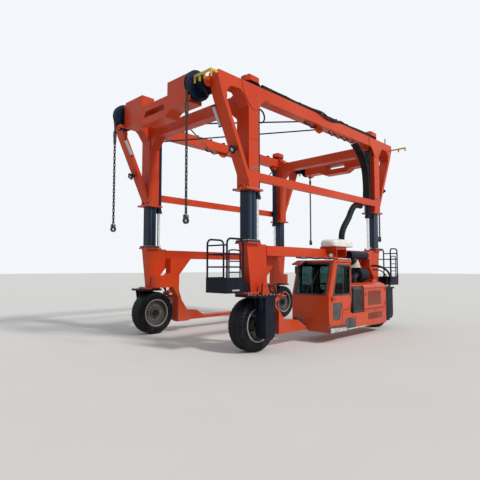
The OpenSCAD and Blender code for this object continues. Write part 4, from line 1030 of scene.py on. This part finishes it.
# Driver's seat: foam cushions in black cloth on a sprung pedestal. The cushions' faces crown
# between their corners, and their sides bulge.
seat_place = (0.19, (cab_inner + cab_side) / 2, span("cab_seat")[0][2])
cloth, tree, shader = new_material("seat_cloth")
place = object_place(tree)
threads = worked(tree, "MULTIPLY", stripes(tree, place, 160.0, "X"), stripes(tree, place, 160.0, "Y"))
coloured(shader, threads, (0.014, 0.014, 0.017, 1), (0.05, 0.05, 0.055, 1))
embossed(shader, threads, 0.5, 0.001)
shader.inputs["Roughness"].default_value = 0.85
shader.inputs["Sheen Weight"].default_value = 0.3


def cushion(low, high, crown, axis):
    """A crowned pad in a box. Its outline is a superellipse of power five. Each face swells by
    the cosine of a quarter turn's share, from its middle to its edge, and the sides bulge."""
    middle, half = (np.asarray(high) + low) / 2, (np.asarray(high) - low) / 2
    grow = np.concatenate([np.linspace(0.02, 0.94, 9), [0.985, 1.0, 1.0, 1.0, 0.985],
                           np.linspace(0.94, 0.02, 9)])
    level = np.concatenate([np.full(9, -1.0), [-0.93, -0.6, 0.0, 0.6, 0.93], np.full(9, 1.0)])
    swell = np.cos(grow * math.pi / 2) * crown * np.sign(level) * (np.abs(level) == 1)
    rings = np.insert(grow[:, None, None] * superellipse(48, 5), axis, 0, axis=2) * half + middle
    rings[..., axis] += ((half[axis] - crown) * level + swell)[:, None]
    faces = ring_faces(len(grow), 48)
    return rings.reshape(-1, 3), faces if axis != 1 else [face[::-1] for face in faces]


def leaned(shape, pivot, angle):
    """A shape turned about the Y axis through a point."""
    points, faces = shape
    c, s = math.cos(angle), math.sin(angle)
    return (points - pivot) @ np.array([(c, 0, -s), (0, 1, 0), (s, 0, c)]) + pivot, faces


back_pads = together([cushion((-0.25, -0.225, 0.33), (-0.14, 0.225, 0.78), 0.02, 0),
                      cushion((-0.23, -0.13, 0.8), (-0.15, 0.13, 0.96), 0.015, 0)])
seat_pads = [cushion((-0.22, -0.24, 0.235), (0.25, 0.24, 0.35), 0.02, 2),
             leaned(back_pads, (-0.24, 0, 0.35), math.radians(-6))]
seat_pads += [cushion((-0.06, side, 0.38), (0.22, side + 0.075, 0.43), 0.008, 2)
              for side in (-0.31, 0.235)]
seat = make_piece("seat_cushions", moved(together(seat_pads), seat_place), cloth, "chassis",
                  smooth=60)
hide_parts("cab_seat")
bellows = np.linspace(0, 0.2, 21)
pedestal = [turned(np.stack([0.13 + 0.012 * np.cos(bellows * 2 * math.pi / 0.05), bellows + 0.02], -1),
                   (0, 0, 0), (0, 0, 1), 32)]
for half, foot in ((0.16, 0.0), (0.2, 0.22)):
    pedestal.append(slab((-half, half), (-half, half), (foot, foot + 0.02)))
arm_rest = [(-0.05, 0.25), (0.2, 0.35), (0.2, 0.385), (-0.05, 0.385)]
for side in (-0.29, 0.26):
    pedestal.append(plate(arm_rest, 1, side, side + 0.03))
make_piece("seat_pedestal", moved(together(pedestal), seat_place), dark_panel, "chassis")
dress(dark_panel, "cab_floor", "cab_console")

# Cab's inside: a screen on a post and two levers with knobs
inside = [plate(eased(rectangle(1.72, 1.98, 1.2, 1.4), 0.02), 0, 0.60, 0.63),
          hose([(0.66, 1.85, 0.97), (0.65, 1.85, 1.1), (0.632, 1.85, 1.22)], radius=0.014, count=8)]
for y, bend_z, lever_top in ((1.72, 1.08, 1.15), (2.3, 1.06, 1.12)):
    inside.append(hose([(0.62, y, 0.97), (0.6, y, bend_z), (0.58, y, lever_top)], radius=0.007,
                       count=8))
    inside.append(turned([(0.012, -0.02), (0.024, 0.0), (0.022, 0.022), (0.01, 0.03)],
                         (0.58, y, lever_top + 0.01), (0, 0, 1), 16))
make_piece("cab_fittings", together(inside), dark_panel, "chassis")

# Cooling unit over the side beam: a moulded white cover with soft shoulders, a dark fan grille
# on top and an air hole in its outer side. It is bolted to the orange bracket.
cover_longer = 0.24
unit_low, unit_high = span("cooling_unit")
unit_low[0] -= cover_longer


def moulded_cover(low, high, power=4.5):
    """A shell whose plan is a superellipse of the given power. As t goes from 0 to 1, the plan
    shrinks by half its 3.2th power and the height follows the sine of its quarter turn."""
    t = np.concatenate([[0.0, 0.03], np.linspace(0.1, 1.0, 22)])
    shrink = 1 - 0.5 * t ** 3.2
    shrink[0] = 0.985
    middle, half = (low + high)[:2] / 2, (high - low)[:2] / 2
    flat = middle + half * superellipse(96, power) * shrink[:, None, None]
    z = low[2] + (high[2] - low[2]) * np.sin(t * math.pi / 2) ** 0.9
    points = np.concatenate([flat, np.broadcast_to(z[:, None, None], (len(t), 96, 1))], -1)
    return points.reshape(-1, 3), ring_faces(len(t), 96)


white_cover, tree, shader = new_material("white_cover")
place = object_place(tree)
dirt = clouds(tree, place, 3.0, 0.45, 0.72, 7.0)
coloured(shader, dirt, (0.80, 0.80, 0.79, 1), (0.60, 0.58, 0.54, 1))
roughened(shader, dirt, 0.25, 0.5)
embossed(shader, noise(tree, place, 90.0, 2.0), 0.05, 0.002)
cover = make_piece("cooling_unit_cover", moulded_cover(unit_low, unit_high - [0, 0, 0.002]),
                   white_cover, "chassis", smooth=60)
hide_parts("cooling_unit")
unit_x, unit_y = (unit_low + unit_high)[:2] / 2
grille_low = unit_high[2] - 0.004
fan = [turned(rectangle(inner, inner + 0.006, 0, 0.004), (unit_x, unit_y, grille_low), (0, 0, 1), 40,
              loop=True) for inner in 0.02 + 0.026 * np.arange(4)]
fan.append(slab((unit_x - 0.006, unit_x + 0.006), (unit_y - 0.1, unit_y + 0.1),
                (grille_low, grille_low + 0.003)))
air_hole = turned([(0.034, -0.05), (0.034, 0.0), (0.028, 0.002)],
                  (unit_low[0] + cover_longer, unit_high[1] - 0.012, unit_low[2] + 0.1), (0, 1, 0), 24)
make_piece("cooling_unit_grilles", together(fan + [air_hole]), rubber_trim, "chassis")
bracket_dressing = together([
    bolts([(-0.6, leg_y + 0.3, unit_low[2])], size=0.012),
    bolts([(x, leg_y + 0.38, 2.37) for x in (-0.6, -0.45, -0.3, -0.16)], up=(0, 1, 0), size=0.012)])
make_piece("bracket_bolts", bracket_dressing, zinc, "chassis")

# Engine house fittings: slatted grilles in the door and the skirt, a latch, a lifting ring and
# a seam on the hood, and a dark rubber strip under the door
house_top = span("engine_house")[1][2] - 0.08


def slats(low_x, high_x, low_z, high_z, y, count, depth=0.008):
    """Sloping slats across an opening, one above another."""
    pitch = (high_z - low_z) / count
    section = np.array([(-depth, 0.42 * pitch), (-depth, 0.22 * pitch), (-0.001, -0.42 * pitch),
                        (-0.001, -0.22 * pitch)])
    return together([plate(section + [y, z], 0, low_x, high_x)
                     for z in low_z + pitch * (np.arange(count) + 0.5)])


# The slats' darker orange is painted shade of the recesses between them, under a little dust
grille_shade_paint = painted("grille_shade_paint", (0.20, 0.022, 0.008, 1), (0.26, 0.034, 0.014, 1),
                       (0.16, 0.10, 0.07, 1), gloss=0.5, wear=0.3, dust=0.6, coat=0.0, edge=0.002)
make_piece("engine_door_grille", slats(-1.825, -1.075, 0.815, 1.195, cab_side, 17), grille_shade_paint,
           "engine_door", smooth=20)
make_piece("skirt_grille", slats(-1.885, -1.075, 0.435, 0.595, cab_side - 0.006, 8), grille_shade_paint,
           "chassis", smooth=20)
latch = together([
    turned([(0.024, 0), (0.024, 0.006), (0.02, 0.01)], (-0.96, cab_side, 1.12), (0, 1, 0), 20),
    plate(eased(rectangle(-0.985, -0.935, 1.08, 1.16), 0.01), 1, cab_side, cab_side + 0.004)])
make_piece("engine_door_latch", latch, rubber_trim, "engine_door")
house_trim = together([
    slab((-2.12, -0.88), (cab_side - 0.001, cab_side + 0.004), (0.7, 0.712)),
    turned([(0.02, 0), (0.02, 0.008), (0.012, 0.012)], (-1.45, cab_side - 0.004, 0.655), (0, 1, 0),
           16)])
make_piece("house_trim", house_trim, rubber_trim, "chassis")
turns = np.linspace(0, math.pi, 14)
ring = carried(np.stack([-1.2 + 0.035 * np.cos(turns), np.full(14, 2.0),
                         house_top + 0.05 * np.sin(turns)], -1), circle(0.008, 8))
seam = hose([(x, cab_side - 0.2, house_top + 0.001) for x in (-2.158, -0.25)], radius=0.004, count=4,
            sides=6)
make_piece("hood_ring", together([ring, seam]), house_paint, "chassis")

# Radiator and battery box between the cab and the engine house: dark grey, with upright fins
dress(dark_panel, "battery_box")
box_low, box_high = span("battery_box")
fins = [slab((x - 0.006, x + 0.006), (box_high[1], box_high[1] + 0.02), (0.70, 1.26))
        for x in np.linspace(box_low[0] + 0.03, box_high[0] - 0.03, 16)]
fins.append(surround(rectangle(box_low[0] + 0.01, box_high[0] - 0.01, 0.68, 1.28), 1, box_high[1],
                     box_high[1] + 0.026, out=0.004, into=0.02, corner=0.02))
make_piece("radiator_fins", together(fins), dark_panel, "chassis")
behind_cab = together([hose(points, radius=radius, count=30) for radius, points in (
    (0.028, [(-0.3, 2.45, 0.72), (-0.27, 2.5, 0.95), (-0.3, 2.46, 1.2), (-0.34, 2.4, 1.3)]),
    (0.016, [(-0.24, 2.35, 0.7), (-0.235, 2.4, 0.9), (-0.26, 2.42, 1.1), (-0.33, 2.36, 1.25)]),
    (0.014, [(-0.26, 2.55, 0.68), (-0.25, 2.58, 0.8), (-0.28, 2.56, 0.93), (-0.34, 2.5, 1.0)]))])
make_piece("coolant_hoses", behind_cab, hose_rubber, "chassis")

# Exhaust: a black silencer across the back of the cab with clamps, and a pipe in pale heat wrap
# whose turns overlap like a bandage
silencer_y, silencer_z = 2.21, 2.2
strap = [(0.1102, -0.015), (0.1145, -0.013), (0.1145, 0.013), (0.1102, 0.015)]
end_cap = [(0.11, 0.0), (0.1, 0.012), (0.06, 0.016)]
straps = together([turned(profile, (x, silencer_y, silencer_z), (1, 0, 0), 40)
                   for profile, x in ((strap, -1.75), (strap, -1.45), (strap, -1.05), (end_cap, -0.9))])
make_piece("silencer_straps", straps, black_paint, "chassis")
rise = np.linspace(0, 0.225, 64)
wrap_radius = (0.128 + 0.004 * (rise * 30 % 1) + 0.07 * np.clip(1 - rise / 0.2, 0, 1)
               - 0.012 * (np.abs(rise - 0.11) > 0.105))
wrap = turned(np.stack([wrap_radius, rise], -1), (-1.15, silencer_y, 1.838), (0, 0, 1), 40)
heat_wrap, tree, shader = new_material("heat_wrap")
place = object_place(tree)
coloured(shader, clouds(tree, place, 9.0, 0.42, 0.7, 6.0), (0.60, 0.57, 0.50, 1), (0.34, 0.30, 0.25, 1))
shader.inputs["Roughness"].default_value = 0.9
embossed(shader, stripes(tree, place, 90.0, "X", Distortion=1.0), 0.4, 0.002)
make_piece("exhaust_heat_wrap", wrap, heat_wrap, "chassis")

# Air cleaner: a round black canister with rolled ribs, a stepped front cap and a rain dome, and
# a fat intake hose down into the hood
cleaner_y, cleaner_z, cleaner_length = 2.25, 1.64, 0.42
along = np.linspace(0, cleaner_length, 90)
ends = np.clip(np.minimum(along, cleaner_length - along) / 0.03, 0, 1)
can_radius = (0.1905 + 0.004 * np.clip(np.cos(along * 2 * math.pi / 0.07) * 4, 0, 1)
              - 0.03 * (1 - np.sqrt(ends * (2 - ends))))
canister = together([
    turned(np.stack([can_radius, along], -1), (-1.62, cleaner_y, cleaner_z), (1, 0, 0), 56),
    turned([(0.12, -0.06), (0.125, 0.0), (0.125, 0.05), (0.11, 0.09), (0.07, 0.12), (0.02, 0.13)],
           (-1.3, cleaner_y + 0.03, 1.74), (0, 0, 1), 40),
    turned([(0.16, 0.0), (0.16, 0.012), (0.14, 0.02), (0.06, 0.024), (0.05, 0.036), (0.03, 0.04)],
           (-1.62 + cleaner_length, cleaner_y, cleaner_z), (1, 0, 0), 48)])
make_piece("air_cleaner_canister", canister, black_paint, "chassis", smooth=50)
intake = hose([(-1.2, 2.27, 1.62), (-1.1, 2.3, 1.63), (-1.0, 2.31, 1.58), (-0.97, 2.3, 1.48),
               (-0.97, 2.29, 1.42)], radius=0.075, count=60, sides=24)
make_piece("air_intake_hose", intake, hose_rubber, "chassis")

# Rear cooler: a black finned core in a frame, with the hoses that feed it
cool_low, cool_high = span("rear_cooler")
cooler = []
for z in np.linspace(cool_low[2] + 0.06, cool_high[2] - 0.06, 30):
    level = (z - 0.004, z + 0.004)
    cooler.append(slab((cool_low[0] + 0.03, cool_high[0] - 0.03), (cool_high[1], cool_high[1] + 0.012),
                       level))
    cooler.append(slab((cool_low[0] - 0.012, cool_low[0]), (cool_low[1] + 0.03, cool_high[1] - 0.03),
                       level))
make_piece("rear_cooler_fins", together(cooler), black_paint, "chassis")
rear_hoses = together([
    hose([(-2.45, 2.08, 1.9), (-2.47, 2.22, 1.9), (-2.55, 2.34, 1.87), (-2.78, 2.42, 1.76),
          (-2.94, 2.44, 1.6), (-2.98, 2.44, 1.43), (-2.9, 2.44, 1.3), (-2.7, 2.42, 1.22),
          (-2.43, 2.4, 1.2)], radius=0.032, count=80),
    hose([(-2.5, 2.08, 1.78), (-2.53, 2.2, 1.78), (-2.66, 2.3, 1.74), (-2.84, 2.36, 1.6),
          (-2.88, 2.37, 1.42), (-2.72, 2.34, 1.14), (-2.43, 2.32, 1.1)], radius=0.018, count=60)])
make_piece("rear_hoses", rear_hoses, hose_rubber, "chassis")

# Hose carrier between the lifting frame and the cooling unit: links of black plastic round the
# hoses, along one fixed curve
carrier_y, carrier_rings, carrier_sides = 1.95, 150, 18
carrier_path = smooth_path(off([(-2.1, 0, 3.73), (-1.9, 0, 3.735), (-1.7, 0, 3.68), (-1.52, 0, 3.52),
                                (-1.36, 0, 3.3), (-1.14, 0, 3.07), (-1.0, 0, 2.88), (-0.95, 0, 2.68),
                                (-0.95, 0, 2.46)], y=carrier_y), carrier_rings)
carrier_points, carrier_faces = carried(carrier_path, circle(0.088, carrier_sides))
middles = np.repeat(carrier_path, carrier_sides, axis=0)
links = 1 - 0.1 * np.repeat(np.arange(carrier_rings) % 4 == 0, carrier_sides)[:, None]
carrier_points = middles + (carrier_points - middles) * links
carrier = make_piece("hose_carrier", (carrier_points, carrier_faces), hose_rubber, None,
                     smooth=20)
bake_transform(carrier)

# Thin hoses to the cab below the side beam and along the roof's edge, and the rubber mount under
# the cab's front
side_beam_foot = span("lower_side_beams")[0][2]
roof_top, roof_edge = span("cab_roof")[1][2], span("cab_walls")[1][1]
beam_reach, roof_reach = np.linspace(1.3, -0.35, 14), np.linspace(-0.16, 0.6, 16)
cab_hoses = []
for n in range(2):
    sag = 0.014 * np.sin(np.linspace(0, 9 + n, 14)) ** 2
    cab_hoses.append(hose(np.stack([beam_reach, np.full(14, 2.02 + 0.03 * n),
                                    side_beam_foot - 0.02 - sag], -1), radius=0.017, count=80))
    sway = 0.006 * np.sin(np.linspace(0, 11 + 3 * n, 16))
    lift = 0.004 * np.sin(np.linspace(n, 13, 16))
    cab_hoses.append(hose(np.stack([roof_reach, roof_edge - 0.03 - 0.026 * n + sway,
                                    roof_top + 0.014 + lift], -1), radius=0.013, count=64))
make_piece("cab_hoses", together(cab_hoses), hose_rubber, "chassis")
cab_mount = plate([(1.06, 0.45), (1.3, 0.565), (1.3, 0.62), (1.2, 0.62), (1.06, 0.54)], 1, 1.9, 2.04)
make_piece("cab_mount", cab_mount, rubber_trim, "chassis")

# Studio: a pale floor that keeps the shadow, and a white background that metal and glass see
floor = bpy.data.objects.new("floor", bpy.data.meshes.new("floor"))
floor_half, floor_z = 150.0, -0.002
floor.data.from_pydata([(x, y, floor_z) for x, y in rectangle(-floor_half, floor_half, -floor_half,
                                                              floor_half)], [], [(0, 1, 2, 3)])
bpy.context.scene.collection.objects.link(floor)
pale_floor, tree, shader = new_material("pale_floor")
shader.inputs["Roughness"].default_value = 0.9
coloured(shader, noise(tree, object_place(tree), 0.6), (0.66, 0.66, 0.65, 1), (0.70, 0.70, 0.69, 1))
floor.data.materials.append(pale_floor)
world = bpy.data.worlds.new("studio")
bpy.context.scene.world = world
world.use_nodes = True
tree = world.node_tree
soft = tree.nodes["Background"]
soft.inputs["Color"].default_value = (0.92, 0.95, 1.0, 1)
soft.inputs["Strength"].default_value = 0.50
pale = add_node(tree, "ShaderNodeBackground", {"Color": (0.90, 0.93, 0.97, 1), "Strength": 1.0})
rays = add_node(tree, "ShaderNodeLightPath")
seen = worked(tree, "MAXIMUM", rays.outputs["Is Camera Ray"], rays.outputs["Is Glossy Ray"])
seen = worked(tree, "MAXIMUM", seen, rays.outputs["Is Transmission Ray"])
either = add_node(tree, "ShaderNodeMixShader", {0: seen, 1: soft.outputs[0], 2: pale.outputs[0]})
tree.links.new(either.outputs[0], tree.nodes["World Output"].inputs["Surface"])
sun = bpy.data.objects.new("sun", bpy.data.lights.new("sun", "SUN"))
bpy.context.scene.collection.objects.link(sun)
sun.data.energy = 2.3
sun.data.color = (1.0, 0.96, 0.90)
sun.data.angle = math.radians(8)
sun.rotation_euler = (math.radians(50), 0, math.radians(188))
bpy.context.scene.view_settings.view_transform = "Standard"
